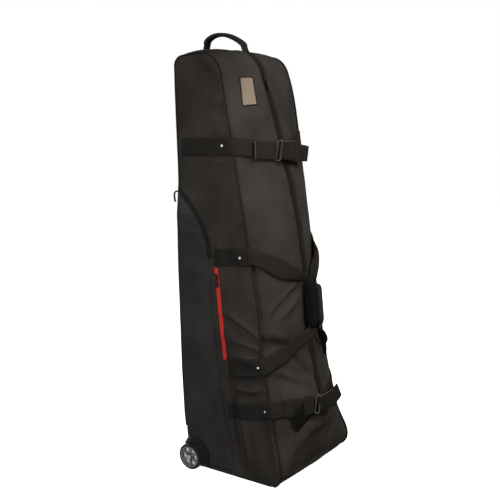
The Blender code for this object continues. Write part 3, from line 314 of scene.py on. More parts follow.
# %% [markdown]
# ## Side panels
# The two side panels are set inside that strip. Each row of a side panel runs from the back seam to the front seam
# at one height, and swells a little between them. The haul anchors draw fans of folds into both sides. The left
# side also carries the full pocket, which pushes its back seam out and creases the cloth in front of it.

# %% Side panels as a surface
SIDE_FOLDS = [  # kind, line as (depth forward of the back seam, z), depth, reach, steep or outer side
    (crease, [(0.158, 0.476), (0.190, 0.460), (0.222, 0.445), (0.268, 0.416)], 0.0080, 0.0115, -1),
    (crease, [(0.196, 0.404), (0.222, 0.398), (0.250, 0.391), (0.284, 0.382)], 0.0080, 0.0085, -1),
    (crease, [(0.166, 0.290), (0.200, 0.300), (0.239, 0.306), (0.284, 0.311)], 0.0070, 0.0090, -1),
    (crease, [(0.170, 0.264), (0.235, 0.258), (0.284, 0.270)], 0.0035, 0.009, -1),
    (tuck, [(0.140, 1.058), (0.162, 1.080), (0.190, 1.100)], 0.0060, 0.009, 1),
    (tuck, [(0.120, 0.907), (0.160, 0.916), (0.207, 0.932)], 0.0034, 0.008, 1),
    (tuck, [(0.130, 0.886), (0.170, 0.896), (0.210, 0.907)], 0.0030, 0.008, 1),
    (tuck, [(0.140, 0.852), (0.175, 0.862), (0.216, 0.868)], 0.0022, 0.009, 1),
    (crease, [(0.160, 0.690), (0.185, 0.640), (0.208, 0.600)], 0.0030, 0.012, 1),
    (crease, [(0.055, 1.196), (0.110, 1.180), (0.165, 1.120)], 0.0030, 0.020, -1),
    (crease, [(0.292, 0.205), (0.290, 0.150), (0.306, 0.070)], 0.0060, 0.012, -1)]
POCKET_FOLDS = [
    (crease, [(0.165, 0.345), (0.172, 0.250), (0.186, 0.130), (0.202, 0.030)], 0.0060, 0.008, 1),
    (crease, [(0.184, 0.200), (0.200, 0.120), (0.220, 0.030)], 0.0040, 0.012, -1)]
SIDE_STUFFING, SIDE_REACH = 0.0045, 0.018
SIDE_PUCKER = 0.0018
POCKET_REACH = 0.045


def side_surface(depth_share, z, side, lift=0.0):
    """Points on a side panel. depth_share is 0 at the back seam and 1 at the front seam."""
    share, z = np.broadcast_arrays(np.asarray(depth_share, float), np.asarray(z, float))
    ends = np.full(z.shape, float(side))
    front = gusset(front_run(z), ends, cloth=False)
    back = gusset(back_run(z), ends, cloth=False)
    push = pocket_push(z) if side < 0 else np.zeros(z.shape)
    back[..., 0] += push
    spots = back + (front - back) * share[..., None]
    depth = BACK_Y - spots[..., 1]
    span = np.linalg.norm(front - back, axis=-1)
    behind = share * span
    edge = np.minimum(np.minimum(share, 1 - share) * span, np.minimum(HEIGHT - z, z) + 0.001)
    calm = np.clip(edge / 0.025, 0, 1)
    belly = (0.0025 + 0.0015 * side) * np.sin(np.pi * share) * calm
    out = SIDE_STUFFING * (1 - np.exp(-edge / SIDE_REACH)) + belly + lift
    roll = 0.5 * np.exp(-(behind / 0.05) ** 2) * (1 - np.exp(-behind / 0.006))
    out = out + push * (np.exp(-(behind / POCKET_REACH) ** 2) + roll)
    out = out + calm * SWELL * ripple(depth, z, 0.09, 5.7 + side)
    pucker = np.exp(-edge / PUCKER_REACH) * (1 - np.exp(-edge / NEEDLE))
    out = out + pucker * SIDE_PUCKER * ripple(depth * 0.6, z, 0.016, 2.2 + side)
    pull = np.exp(-((z - 0.44) / 0.17) ** 2)
    ridge = np.exp(-(((1 - share) * span - 0.008) / 0.005) ** 2)
    out = out + (0.0022 + 0.0022 * pull) * ridge * calm
    for fold, line, deep, reach, steep in SIDE_FOLDS + (POCKET_FOLDS if side < 0 else []):
        out = out + fold(depth, z, line, deep * FOLD_DEPTH, reach, steep) * np.clip(edge / 0.008, 0.2, 1)
    spots[..., 0] += side * out
    return spots


def side_spot(depth, z, side, lift=0.0):
    """One or more points of a side panel at a depth forward of the back seam."""
    depth, z = np.broadcast_arrays(np.asarray(depth, float), np.asarray(z, float))
    front = gusset(front_run(z), float(side), cloth=False)[..., 1]
    back = gusset(back_run(z), float(side), cloth=False)[..., 1]
    return side_surface((back - (BACK_Y - depth)) / (back - front), z, side, lift)


print("side at mid height", [round(float(v), 3) for v in side_spot(0.1, 0.6, -1)])

# %% [markdown]
# ## Cutting and sewing
# Most pieces start as one flat grid of quads, like cloth on a cutting table, with a UV map in metres so that a weave
# keeps its real size. The grid is then laid on the surface above. A small helper does that, gives the sheet its
# thickness and hangs it on the right body of the frame.

# %% Helpers for sheets
FINISHES = {}


def add_piece(name, mesh, finish, body, nodes=()):
    """Puts a finished mesh in the scene: its finish, the body it moves with and the CAD nodes it stands for."""
    piece = bpy.data.objects.new(name, mesh)
    bpy.context.scene.collection.objects.link(piece)
    mesh.materials.append(FINISHES[finish])
    if body:
        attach(piece, body)
    if nodes:
        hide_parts(*nodes)
    return piece


def lay_sheet(name, columns, lines, lay, size):
    """A grid of quads laid by lay(u, v), with u and v from 0 to 1, and a UV map in metres."""
    bm = bmesh.new()
    uv = bm.loops.layers.uv.new("weave")
    bmesh.ops.create_grid(bm, x_segments=columns, y_segments=lines, size=0.5)
    for face in bm.faces:
        for loop in face.loops:
            loop[uv].uv = ((loop.vert.co.x + 0.5) * size[0], (loop.vert.co.y + 0.5) * size[1])
    mesh = bpy.data.meshes.new(name)
    bm.to_mesh(mesh)
    bm.free()
    flat = np.empty(len(mesh.vertices) * 3)
    mesh.vertices.foreach_get("co", flat)
    flat = flat.reshape(-1, 3)
    spots = lay(flat[:, 0] + 0.5, flat[:, 1] + 0.5)
    mesh.vertices.foreach_set("co", np.ascontiguousarray(spots, dtype=np.float32).ravel())
    mesh.update()
    return mesh


def face_out(mesh, out):
    """Turns an open sheet so that its faces look the way out says."""
    normals = np.empty(len(mesh.polygons) * 3)
    mesh.polygons.foreach_get("normal", normals)
    if (normals.reshape(-1, 3) @ np.asarray(out, float)).sum() < 0:
        mesh.flip_normals()


def smooth_shade(mesh):
    mesh.polygons.foreach_set("use_smooth", [True] * len(mesh.polygons))


def add_sheet(name, columns, lines, lay, size, out, finish, body, nodes=(), thick=0.003, offset=-1.0):
    """A sewn sheet with a real thickness, laid on the case."""
    mesh = lay_sheet(name, columns, lines, lay, size)
    face_out(mesh, out)
    smooth_shade(mesh)
    piece = add_piece(name, mesh, finish, body, nodes)
    wall = piece.modifiers.new("thickness", "SOLIDIFY")
    wall.thickness = thick
    wall.offset = offset
    wall.use_even_offset = False
    return piece


# %% [markdown]
# Webbing follows a line instead of a surface. A ribbon is a strip along that line with its width in a given direction.
# Its middle is a little crowned and its edges are softened.

# %% Helpers for ribbons
RIBBON_COLUMNS, RIBBON_CROWN = 6, 0.0004


def smooth_line(points, count):
    """A smooth run of count points through the given ones."""
    points = np.array(points, float)
    padded = np.vstack([2 * points[0] - points[1], points, 2 * points[-1] - points[-2]])
    out = []
    for place in np.linspace(0, len(points) - 1, count):
        i = min(int(place), len(points) - 2)
        t = place - i
        a, b, c, d = padded[i:i + 4]
        out.append(0.5 * (2 * b + (c - a) * t + (2 * a - 5 * b + 4 * c - d) * t * t
                          + (3 * b - a - 3 * c + d) * t ** 3))
    return np.array(out)


def lengths_of(points):
    return np.concatenate([[0.0], np.cumsum(np.linalg.norm(np.diff(points, axis=0), axis=1))])


def add_ribbon(name, centres, across, width, finish, body, nodes, thick, out):
    """A strip of webbing along centres. across holds the direction of its width at each one."""
    centres = np.array(centres, float)
    across = np.array([unit(a) for a in across])
    width = np.broadcast_to(np.asarray(width, float), len(centres))
    steps = np.gradient(centres, axis=0)
    face = np.cross(across, steps)
    face /= np.linalg.norm(face, axis=1)[:, None] + 1e-12
    if (face @ np.asarray(out, float)).sum() < 0:
        face = -face
    last = len(centres) - 1

    def lay(u, v):
        i = np.rint(v * last).astype(int)
        bow = RIBBON_CROWN * (1 - (2 * u - 1) ** 2)
        return centres[i] + across[i] * ((u - 0.5) * width[i])[:, None] + face[i] * bow[:, None]

    size = (float(width.max()), float(lengths_of(centres)[-1]))
    mid = face[len(face) // 2]
    facing = mid if abs(mid @ np.asarray(out, float)) > 0.2 else out
    piece = add_sheet(name, RIBBON_COLUMNS, last, lay, size, facing, finish, body, nodes, thick, 0.0)
    round_off = piece.modifiers.new("soft edge", "BEVEL")
    round_off.width = thick * 0.35
    round_off.segments = 2
    round_off.limit_method = "ANGLE"
    return piece


print("ribbons are", RIBBON_COLUMNS, "columns wide")

# %% [markdown]
# Cords, sleeves and padded pieces are closed shapes. Each starts as a sheet too, rolled up or laid on another one, and
# is welded along its edges. A cord gets a frame of two spokes that is carried along the line without twisting.

# %% Helpers for closed shapes
def squared(wave, power):
    """A sine or cosine with fuller shoulders, for sections between a circle and a box."""
    return np.sign(wave) * np.abs(wave) ** power


def weld(mesh, gap, fill=False, other=None):
    """Joins the edges of a rolled sheet, or of two sheets, and closes the holes that stay if fill is set."""
    bm = bmesh.new()
    bm.from_mesh(mesh)
    if other:
        bm.from_mesh(other)
    bmesh.ops.remove_doubles(bm, verts=bm.verts, dist=gap)
    if fill:
        bmesh.ops.holes_fill(bm, edges=[e for e in bm.edges if e.is_boundary], sides=0)
    bmesh.ops.recalc_face_normals(bm, faces=bm.faces)
    bm.to_mesh(mesh)
    bm.free()
    smooth_shade(mesh)
    return mesh


def add_tube(name, centres, radius, finish, body, nodes=(), sides=8, closed=False):
    """A round cord along centres, with its ends drawn to a point."""
    centres = np.array(centres, float)
    radius = np.broadcast_to(np.asarray(radius, float), len(centres)).copy()
    if not closed:
        centres = np.vstack([centres[:1], centres, centres[-1:]])
        radius = np.concatenate([[1e-6], radius, [1e-6]])
    count = len(centres)
    ahead = np.gradient(centres, axis=0)
    if closed:
        ahead = np.roll(centres, -1, axis=0) - np.roll(centres, 1, axis=0)
    for i in range(1, count):
        if np.linalg.norm(ahead[i]) < 1e-9:
            ahead[i] = ahead[i - 1]
    ahead[0] = ahead[0] if np.linalg.norm(ahead[0]) > 1e-9 else ahead[1]
    ahead /= np.linalg.norm(ahead, axis=1)[:, None]
    start = np.cross(ahead[0], (0.31, 0.55, 0.77))
    spokes = [unit(start)]
    for i in range(1, count):
        spoke = spokes[-1] - ahead[i] * (spokes[-1] @ ahead[i])
        spokes.append(unit(spoke))
    spokes = np.array(spokes)
    others = np.cross(ahead, spokes)
    lines = count if closed else count - 1

    def lay(u, v):
        i = np.rint(v * lines).astype(int) % count
        a = 2 * np.pi * u
        ring = spokes[i] * np.cos(a)[:, None] + others[i] * np.sin(a)[:, None]
        return centres[i] + ring * radius[i][:, None]

    mesh = lay_sheet(name, sides, lines, lay, (2 * math.pi * float(radius.max()), float(lengths_of(centres)[-1])))
    return add_piece(name, weld(mesh, 0.00001), finish, body, nodes)


print("helpers for closed shapes ready")

# %% [markdown]
# ## Finishes
# Every cloth here is black, so they are told apart by weave, gloss and relief. The weave, the ribs of webbing and a
# slow drift of colour are node groups, which each material uses with its own scale.

# %% Node groups
def new_group(name, values, outputs):
    """An empty group with a Vector input, more inputs as (label, value) pairs, and its outputs."""
    group = bpy.data.node_groups.new(name, "ShaderNodeTree")
    group.interface.new_socket("Vector", in_out="INPUT", socket_type="NodeSocketVector")
    for label, value in values:
        group.interface.new_socket(label, in_out="INPUT", socket_type="NodeSocketFloat").default_value = value
    for label in outputs:
        group.interface.new_socket(label, in_out="OUTPUT", socket_type="NodeSocketFloat")
    return group, group.nodes.new("NodeGroupInput"), group.nodes.new("NodeGroupOutput")


def add_math(tree, how, one, two=None, three=None):
    node = tree.nodes.new("ShaderNodeMath")
    node.operation = how
    for i, value in enumerate((one, two, three)):
        if value is None:
            continue
        if isinstance(value, (int, float)):
            node.inputs[i].default_value = value
        else:
            tree.links.new(value, node.inputs[i])
    return node.outputs[0]


def build_weave():
    """A plain weave on UV metres: threads cross over and under. Puts out its relief."""
    tree, come, go = new_group("plain weave", [("Threads", 1400.0)], ["Relief"])
    split = tree.nodes.new("ShaderNodeSeparateXYZ")
    tree.links.new(come.outputs["Vector"], split.inputs[0])
    waves = []
    for axis in ("X", "Y"):
        turn = add_math(tree, "MULTIPLY", split.outputs[axis], come.outputs["Threads"])
        waves.append(add_math(tree, "MULTIPLY", turn, math.pi))
    over = add_math(tree, "MULTIPLY", add_math(tree, "SINE", waves[0]), add_math(tree, "SINE", waves[1]))
    ridge_x = add_math(tree, "ABSOLUTE", add_math(tree, "COSINE", waves[0]))
    ridge_y = add_math(tree, "ABSOLUTE", add_math(tree, "COSINE", waves[1]))
    up_down = add_math(tree, "MULTIPLY_ADD", over, 0.25, 0.5)
    ridges = add_math(tree, "MULTIPLY", ridge_x, ridge_y)
    tree.links.new(add_math(tree, "MULTIPLY_ADD", ridges, -0.5, up_down), go.inputs["Relief"])
    return tree


def build_drift():
    """Slow uneven patches, for colour and gloss that wander over a surface, with fine specks of dust."""
    tree, come, go = new_group("uneven drift", [("Patch", 9.0), ("Speck", 420.0)], ["Patches", "Specks"])
    for scale, detail, roughness, result in (("Patch", 4.0, 0.6, "Patches"), ("Speck", 2.0, 0.5, "Specks")):
        cloud = tree.nodes.new("ShaderNodeTexNoise")
        cloud.inputs["Detail"].default_value = detail
        cloud.inputs["Roughness"].default_value = roughness
        tree.links.new(come.outputs["Vector"], cloud.inputs["Vector"])
        tree.links.new(come.outputs[scale], cloud.inputs["Scale"])
        tree.links.new(cloud.outputs["Fac"], go.inputs[result])
    return tree


def build_ribs():
    """Webbing: ribs that run across the strip in a herringbone, over cords that run along it."""
    tree, come, go = new_group("webbing ribs", [("Ribs", 620.0), ("Cords", 300.0)], ["Relief"])
    split = tree.nodes.new("ShaderNodeSeparateXYZ")
    tree.links.new(come.outputs["Vector"], split.inputs[0])
    cords = add_math(tree, "MULTIPLY", add_math(tree, "MULTIPLY", split.outputs["X"], come.outputs["Cords"]), math.pi)
    zigzag = add_math(tree, "MULTIPLY", add_math(tree, "ABSOLUTE", add_math(tree, "SINE", cords)), 0.9)
    ribs = add_math(tree, "MULTIPLY", add_math(tree, "MULTIPLY", split.outputs["Y"], come.outputs["Ribs"]), math.pi)
    wave = add_math(tree, "ABSOLUTE", add_math(tree, "SINE", add_math(tree, "ADD", ribs, zigzag)))
    both = add_math(tree, "MULTIPLY_ADD", add_math(tree, "ABSOLUTE", add_math(tree, "COSINE", cords)), 0.35, wave)
    tree.links.new(both, go.inputs["Relief"])
    return tree


GROUPS = {"weave": build_weave(), "drift": build_drift(), "ribs": build_ribs()}
print(len(GROUPS), "node groups")

# %% [markdown]
# A small class builds each material round its Principled shader, so that a finish reads as a short recipe.

# %% A material in the making
class Finish:
    """One material in the making: a Principled shader and shortcuts to add nodes."""

    def __init__(self, name, roughness=0.6, **plain):
        self.material = bpy.data.materials.new(name)
        self.material.use_nodes = True
        self.tree = self.material.node_tree
        self.shader = self.tree.nodes["Principled BSDF"]
        self.shader.inputs["Roughness"].default_value = roughness
        for socket, value in plain.items():
            self.shader.inputs[socket.replace("_", " ")].default_value = value
        self.place = self.tree.nodes.new("ShaderNodeTexCoord")
        FINISHES[name] = self.material

    def group(self, key, where="Object", **values):
        node = self.tree.nodes.new("ShaderNodeGroup")
        node.node_tree = GROUPS[key]
        self.tree.links.new(self.place.outputs[where], node.inputs["Vector"])
        for label, value in values.items():
            node.inputs[label].default_value = value
        return node

    def ramp(self, source, stops):
        node = self.tree.nodes.new("ShaderNodeValToRGB")
        while len(node.color_ramp.elements) < len(stops):
            node.color_ramp.elements.new(0.5)
        for element, (place, colour) in zip(node.color_ramp.elements, stops):
            element.position = place
            element.color = (*colour, 1.0) if not isinstance(colour, float) else (colour, colour, colour, 1.0)
        self.tree.links.new(source, node.inputs["Fac"])
        return node.outputs["Color"]

    def bump(self, height, distance, strength, before=None):
        node = self.tree.nodes.new("ShaderNodeBump")
        node.inputs["Distance"].default_value = distance
        node.inputs["Strength"].default_value = strength
        self.tree.links.new(height, node.inputs["Height"])
        if before:
            self.tree.links.new(before, node.inputs["Normal"])
        return node.outputs["Normal"]

    def set(self, socket, value):
        self.tree.links.new(value, self.shader.inputs[socket])


def shade(colour, amount):
    return tuple(min(1.0, c * amount) for c in colour)


print("recipes can use", ", ".join(GROUPS))

# %% [markdown]
# The cloths come first. Their colour wanders in patches, and the threads are darker between their ridges.

# %% Cloth finishes
def cloth_finish(name, colour, roughness, threads, relief, patch=7.0, sheen=0.0, spread=0.35, shine=0.0):
    """A woven cloth: thread relief, patches of colour and slightly polished patches."""
    cloth = Finish(name, roughness, Sheen_Weight=sheen, Sheen_Roughness=0.5, Specular_IOR_Level=shine)
    drift = cloth.group("drift", Patch=patch, Speck=700.0)
    weave = cloth.group("weave", "UV", Threads=threads)
    tone = cloth.ramp(drift.outputs["Patches"], [(0.25, shade(colour, 1 - spread)), (0.75, shade(colour, 1 + spread))])
    mix = cloth.tree.nodes.new("ShaderNodeMix")
    mix.data_type = "RGBA"
    mix.blend_type = "MULTIPLY"
    mix.inputs["Factor"].default_value = 0.55
    cloth.tree.links.new(tone, mix.inputs["A"])
    cloth.tree.links.new(cloth.ramp(weave.outputs["Relief"], [(0.0, (1.0, 1.0, 1.0)), (0.8, (0.45, 0.45, 0.45))]),
                         mix.inputs["B"])
    cloth.set("Base Color", mix.outputs["Result"])
    cloth.set("Roughness", cloth.ramp(drift.outputs["Patches"], [(0.2, roughness + 0.08), (0.8, roughness - 0.08)]))
    fine = cloth.bump(drift.outputs["Specks"], 0.0003, 0.35)
    cloth.set("Normal", cloth.bump(weave.outputs["Relief"], relief, 0.8, fine))


cloth_finish("nylon", (0.0520, 0.0480, 0.0440), 0.50, 1500.0, 0.00025)
cloth_finish("coated", (0.0470, 0.0450, 0.0450), 0.42, 2100.0, 0.0001)
# The next two are one padding cloth: darker for painted shade on the left grip, lighter for painted light on the right.
cloth_finish("padding", (0.0130, 0.0120, 0.0110), 0.52, 1100.0, 0.0003)
cloth_finish("grip_painted_light", (0.0360, 0.0335, 0.0305), 0.52, 1100.0, 0.0003)
cloth_finish("base", (0.0160, 0.0155, 0.0150), 0.48, 700.0, 0.0005, patch=14.0)
cloth_finish("foam", (0.075, 0.075, 0.080), 0.75, 900.0, 0.0003, sheen=0.2)
cloth_finish("tape", (0.0280, 0.0262, 0.0245), 0.62, 1800.0, 0.0002)
cloth_finish("red", (0.80, 0.060, 0.050), 0.42, 1700.0, 0.0001, spread=0.08)
cloth_finish("card", (0.290, 0.228, 0.180), 0.30, 2600.0, 0.00002, patch=14.0, spread=0.16, shine=0.12)
print(len(FINISHES), "cloths")

# %% [markdown]
# Webbing shows its ribs, and its colour is darker in the grooves between them, a painted shade. What is moulded,
# painted or cast has a fine grain and rubbed, duller patches.

# %% Webbing and hard finishes
def webbing_finish(name, colour, roughness):
    strap = Finish(name, roughness, Specular_IOR_Level=0.0)
    ribs = strap.group("ribs", "UV")
    drift = strap.group("drift", Patch=18.0, Speck=900.0)
    # The colour darkens in the grooves between the ribs: a painted shade.
    tone = strap.ramp(ribs.outputs["Relief"], [(0.1, shade(colour, 0.55)), (1.0, shade(colour, 1.2))])
    strap.set("Base Color", tone)
    strap.set("Roughness", strap.ramp(drift.outputs["Patches"], [(0.2, roughness + 0.1), (0.8, roughness - 0.06)]))
    fine = strap.bump(drift.outputs["Specks"], 0.0003, 0.3)
    strap.set("Normal", strap.bump(ribs.outputs["Relief"], 0.0005, 0.9, fine))


webbing_finish("webbing", (0.0270, 0.0250, 0.0226), 0.50)
# A darker copy of the webbing: painted shade for the twisted loose cover.
webbing_finish("cord", (0.0130, 0.0130, 0.0102), 0.60)


def solid_finish(name, colour, roughness, grain, relief, metallic=0.0, spread=0.2, shine=0.25):
    """A moulded, painted or metal surface: fine grain, slow drift of colour and rubbed, duller patches."""
    skin = Finish(name, roughness, Metallic=metallic, Specular_IOR_Level=shine)
    drift = skin.group("drift", Patch=30.0, Speck=grain)
    skin.set("Base Color", skin.ramp(drift.outputs["Patches"], [(0.25, shade(colour, 1 - spread)),
                                                               (0.75, shade(colour, 1 + spread))]))
    skin.set("Roughness", skin.ramp(drift.outputs["Patches"], [(0.25, max(0.05, roughness - 0.08)),
                                                              (0.8, min(1.0, roughness + 0.14))]))
    skin.set("Normal", skin.bump(drift.outputs["Specks"], relief, 0.5))


solid_finish("moulded", (0.016, 0.0155, 0.015), 0.50, 1400.0, 0.0003, shine=0.04)
solid_finish("board", (0.045, 0.045, 0.046), 0.7, 900.0, 0.0004)
solid_finish("rubber", (0.012, 0.012, 0.012), 0.66, 1100.0, 0.0004, shine=0.1)
# Bright silver: the rivets' own colour, and on the wheel dish a painted highlight.
solid_finish("silver", (0.80, 0.80, 0.80), 0.30, 1600.0, 0.0001, metallic=0.3, spread=0.06)
solid_finish("hub", (0.125, 0.122, 0.117), 0.40, 1600.0, 0.0001, metallic=0.3, spread=0.08)
solid_finish("steel", (0.20, 0.20, 0.205), 0.40, 1200.0, 0.0001, metallic=0.6, spread=0.08)
solid_finish("zinc", (0.016, 0.016, 0.017), 0.48, 1000.0, 0.0001, metallic=0.3, spread=0.15, shine=0.08)
solid_finish("gunmetal", (0.055, 0.053, 0.050), 0.38, 1000.0, 0.0001, spread=0.12)
# A pale finish for painted highlights on webbing edges.
solid_finish("painted_edge_highlight", (0.075, 0.068, 0.058), 0.55, 1500.0, 0.0002, shine=0.1)
solid_finish("thread", (0.034, 0.032, 0.029), 0.6, 1500.0, 0.0001, shine=0.1)
solid_finish("coil", (0.016, 0.0155, 0.015), 0.50, 1500.0, 0.0001, shine=0.05)
solid_finish("red_coil", (0.55, 0.035, 0.030), 0.5, 1500.0, 0.0001, shine=0.05)
print(len(FINISHES), "finishes")

# %% [markdown]
# ## The cloth shell
# The shell is one loft round the outline, cut where the real case is cut: a lower front panel, two front flaps beside
# the zip, a hood over the top, the back and the base. All are laid by the same function, so their edges meet, and
# the panels above and below the flaps run a little way under them.

# %% Shell panels
KICK_TOP = 0.160
FLAP_TOP = 1.068
SKIRT_Z = 1.050
CELL = 0.0042
LAP, HEM_SINK = 0.010, 0.0018
HAIR = 0.0005
FLAP_THICK = 0.0012
FLAP_FOOT, FLAP_HEAD = float(front_run(KICK_TOP)), float(front_run(FLAP_TOP))


def strip_panel(name, start, end, t_low, t_high, out, finish, body, nodes, thick=0.003, cell=CELL, under=None):
    """One panel of the strip, from start to end along the seam and between two places across it. Beyond the place
    under, it is sunk so that its hem lies under the next panel. Thin rows at both edges keep the shading even."""
    wide = HALF_WIDTH * (t_high - t_low)
    places = list(np.linspace(start + HAIR, end - HAIR, max(4, round((end - start) / cell))))
    if under is not None:
        places = [p for p in places if abs(p - under) > 3 * HAIR]
        places += [under - 2 * HAIR, under - HAIR, under + HAIR, under + 2 * HAIR]
    places = np.array([start] + sorted(places) + [end])
    columns, lines = max(4, round(wide / cell)), len(places) - 1

    def lay(u, v):
        run = places[np.rint(v * lines).astype(int)]
        sink = 0.0
        if under is not None:
            covered = run > under if under > (start + end) / 2 else run < under
            sink = np.where(covered, -HEM_SINK, 0.0)
        return gusset(run, t_low + (t_high - t_low) * u, sink)

    return add_sheet(name, columns, lines, lay, (wide, end - start), out, finish, body, nodes, thick)


ZIP_EDGE = TAPE_HALF / HALF_WIDTH
SKIRT = float(back_run(SKIRT_Z))
strip_panel("lower_front_panel", 0.0, FLAP_FOOT + LAP, -1, 1, (0, -1, 0.2), "nylon", "case", ["kick_panel"],
            under=FLAP_FOOT)
for label, t_low, t_high in (("left", -1, -ZIP_EDGE), ("right", ZIP_EDGE, 1)):
    strip_panel("front_flap_%s_cloth" % label, FLAP_FOOT, FLAP_HEAD, t_low, t_high, (0, -1, 0.1), "nylon",
                label + "_flap", ["front_flap_" + label], FLAP_THICK)
strip_panel("hood_cloth", FLAP_HEAD - LAP, SKIRT, -1, 1, (0, 0, 1), "nylon", "case", ["top_cap"], under=FLAP_HEAD)
strip_panel("back_cloth", SKIRT + 0.0003, FOOT_BACK, -1, 1, (0, 1, 0), "nylon", "case", ["back_panel"])
strip_panel("base_cloth", FOOT_BACK, SEAM_LENGTH, -1, 1, (0, 0, -1), "base", "case", ["base_panel"], thick=0.004,
            cell=0.008)
print("front, hood, back and base laid")

# %% [markdown]
# The flaps turn at the corner seams. A narrow strip of cloth lies under each flap's edge, on no body, with its place
# baked into the mesh. The two side panels close the shell.

# %% Hinge strips and side panels
HINGE_WIDE, HINGE_SINK = 0.030, 0.0022
low, high = FLAP_FOOT + 0.004, FLAP_HEAD - 0.004
for label, side in SIDES:
    hinge = add_sheet("hinge_cloth_" + label, 10, 200, lambda u, v: gusset(
        low + (high - low) * v, side * (1 - u * HINGE_WIDE / HALF_WIDTH), -HINGE_SINK), (HINGE_WIDE, high - low),
        (0, -1, 0.1), "nylon", None, thick=0.0010)
    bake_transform(hinge)


def side_rows(v):
    """Heights of the rows, closer together at the foot and the top."""
    return HEIGHT * (0.6 * v + 0.2 * (1 - np.cos(np.pi * v)))


for label, side in SIDES:
    add_sheet("side_cloth_" + label, 84, 300, lambda u, v: side_surface(u, side_rows(v), side), (0.34, HEIGHT),
              (side, 0, 0), "nylon", "case", ["side_panel_" + label])
print("hinge strips and side panels laid")

# %% [markdown]
# ## Corded edges
# A cord wrapped in cloth is caught in each side seam. It hides the needle holes and takes the knocks. It is a long
# thin tube along the seam.

# %% Corded edges
for label, side in SIDES:
    runs = np.arange(float(front_run(0.004)), float(back_run(0.108)), 0.008)
    line = gusset(runs, side, 0.0010, cloth=False)
    line[:, 0] += side * 0.0008
    line[:, 2] = np.maximum(line[:, 2], 0.0034)
    add_tube("corded_edge_" + label, line, 0.0023, "tape", "case", ["piping_" + label])
print("corded edges run to", round(float(line[-1, 2]), 3), "m at the back")

# %% [markdown]
# ## Straps sewn on the sides
# The webbing of the two compression straps, and the patches that anchor the haul loops, are sewn flat on the sides and
# end at the seam. A strap that lies on cloth is a strip of the same surface, lifted by its own thickness.
# Near the seam it rises to climb over the cord.

# %% Webbing on the sides
WEB = 0.050
WEB_THICK = 0.0022
CORD_RISE = 0.0046
SEWN_LIFT = 0.0016
ROWS = {"case": [], "left_flap": [], "right_flap": []}  # rows of stitches, sewn at the end
BOX_STITCH = ([(0.07, 0.03), (0.93, 0.03), (0.93, 0.92), (0.07, 0.92), (0.07, 0.03)], [(0.07, 0.55), (0.93, 0.92)],
              [(0.93, 0.55), (0.07, 0.92)], [(0.07, 0.55), (0.93, 0.55)])


def side_strap(name, side, back_depth, front_z, tilt, nodes):
    """Webbing on a side panel from a depth forward of the back seam to the front seam, rising by tilt degrees."""
    front_depth = BACK_Y - float(gusset(front_run(front_z), side, cloth=False)[1])
    slope = math.tan(math.radians(tilt))
    length = front_depth - back_depth

    def lay(u, v):
        depth = back_depth + length * v
        z = front_z - (front_depth - depth) * slope + (u - 0.5) * WEB
        edge = BACK_Y - gusset(front_run(z), np.full(z.shape, float(side)), cloth=False)[..., 1]
        depth = np.minimum(back_depth + (edge - back_depth) * v, edge)
        lift = SEWN_LIFT + (CORD_RISE - SEWN_LIFT) * np.exp(-(edge - depth) / 0.008)
        return side_spot(depth, z, side, lift)

    for path in BOX_STITCH:
        places = np.linspace(0, len(path) - 1, 24 * (len(path) - 1) + 1)
        u, v = (np.interp(places, range(len(path)), [corner[i] for corner in path]) for i in (0, 1))
        ROWS["case"].append(lay(u, v) + np.array((side * (WEB_THICK + 0.0001), 0, 0)))
    return add_sheet(name, 10, max(8, round(length / 0.006)), lay, (WEB, length), (side, 0, 0), "webbing", "case",
                     nodes, WEB_THICK, 1.0)


SEWN = [("upper_strap_on_side_", 0.028, 0.966, 1.0, "upper_strap_sewn_"),
        ("lower_strap_on_side_", 0.160, 0.227, 11.0, "lower_strap_sewn_"),
        ("haul_anchor_upper_", 0.130, 0.661, 4.0, "haul_patch_upper_"),
        ("haul_anchor_lower_", 0.166, 0.351, 8.0, "haul_patch_lower_")]
for label, side in SIDES:
    for name, back_depth, front_z, tilt, node in SEWN:
        side_strap(name + label, side, back_depth, front_z, tilt, [node + label])
print(2 * len(SEWN), "straps sewn on the sides")

# %% [markdown]
# The hardware is made of small closed shapes. Each is an outline turned about an axis or a flat outline with a
# thickness, and it is carried to its place by a matrix. Several of them are joined into one piece.

# %% Small solid shapes
SHARP = math.radians(35)


def spun(profile, steps):
    """A shape turned about the X axis. profile holds (x, radius) points from end to end."""
    bm = bmesh.new()
    verts = [bm.verts.new((x, 0.0, radius)) for x, radius in profile]
    edges = [bm.edges.new(pair) for pair in zip(verts, verts[1:])]
    bmesh.ops.spin(bm, geom=verts + edges, cent=(0, 0, 0), axis=(1, 0, 0), angle=2 * math.pi, steps=steps,
                   use_merge=True)
    bmesh.ops.remove_doubles(bm, verts=bm.verts, dist=0.000002)
    bmesh.ops.recalc_face_normals(bm, faces=bm.faces)
    return bm


def plate(outline, thick, soften):
    """A flat outline in X and Z, as thick as given about Y = 0, with softened edges."""
    bm = bmesh.new()
    face = bm.faces.new([bm.verts.new((x, -thick / 2, z)) for x, z in outline])
    grown = bmesh.ops.extrude_face_region(bm, geom=[face])["geom"]
    bmesh.ops.translate(bm, vec=(0, thick, 0), verts=[g for g in grown if isinstance(g, bmesh.types.BMVert)])
    bmesh.ops.recalc_face_normals(bm, faces=bm.faces)
    bmesh.ops.bevel(bm, geom=bm.edges[:], offset=soften, offset_type="OFFSET", segments=2, profile=0.5,
                    affect="EDGES", material=-1)
    return bm


def bar(length, thick, wide, soften, at):
    """A straight bar along X from at."""
    return moved(plate([(0, -wide / 2), (length, -wide / 2), (length, wide / 2), (0, wide / 2)], thick, soften),
                 Matrix.Translation(at))


def moved(bm, place):
    """The same shape, carried to a place."""
    bmesh.ops.transform(bm, matrix=place, verts=bm.verts)
    return bm


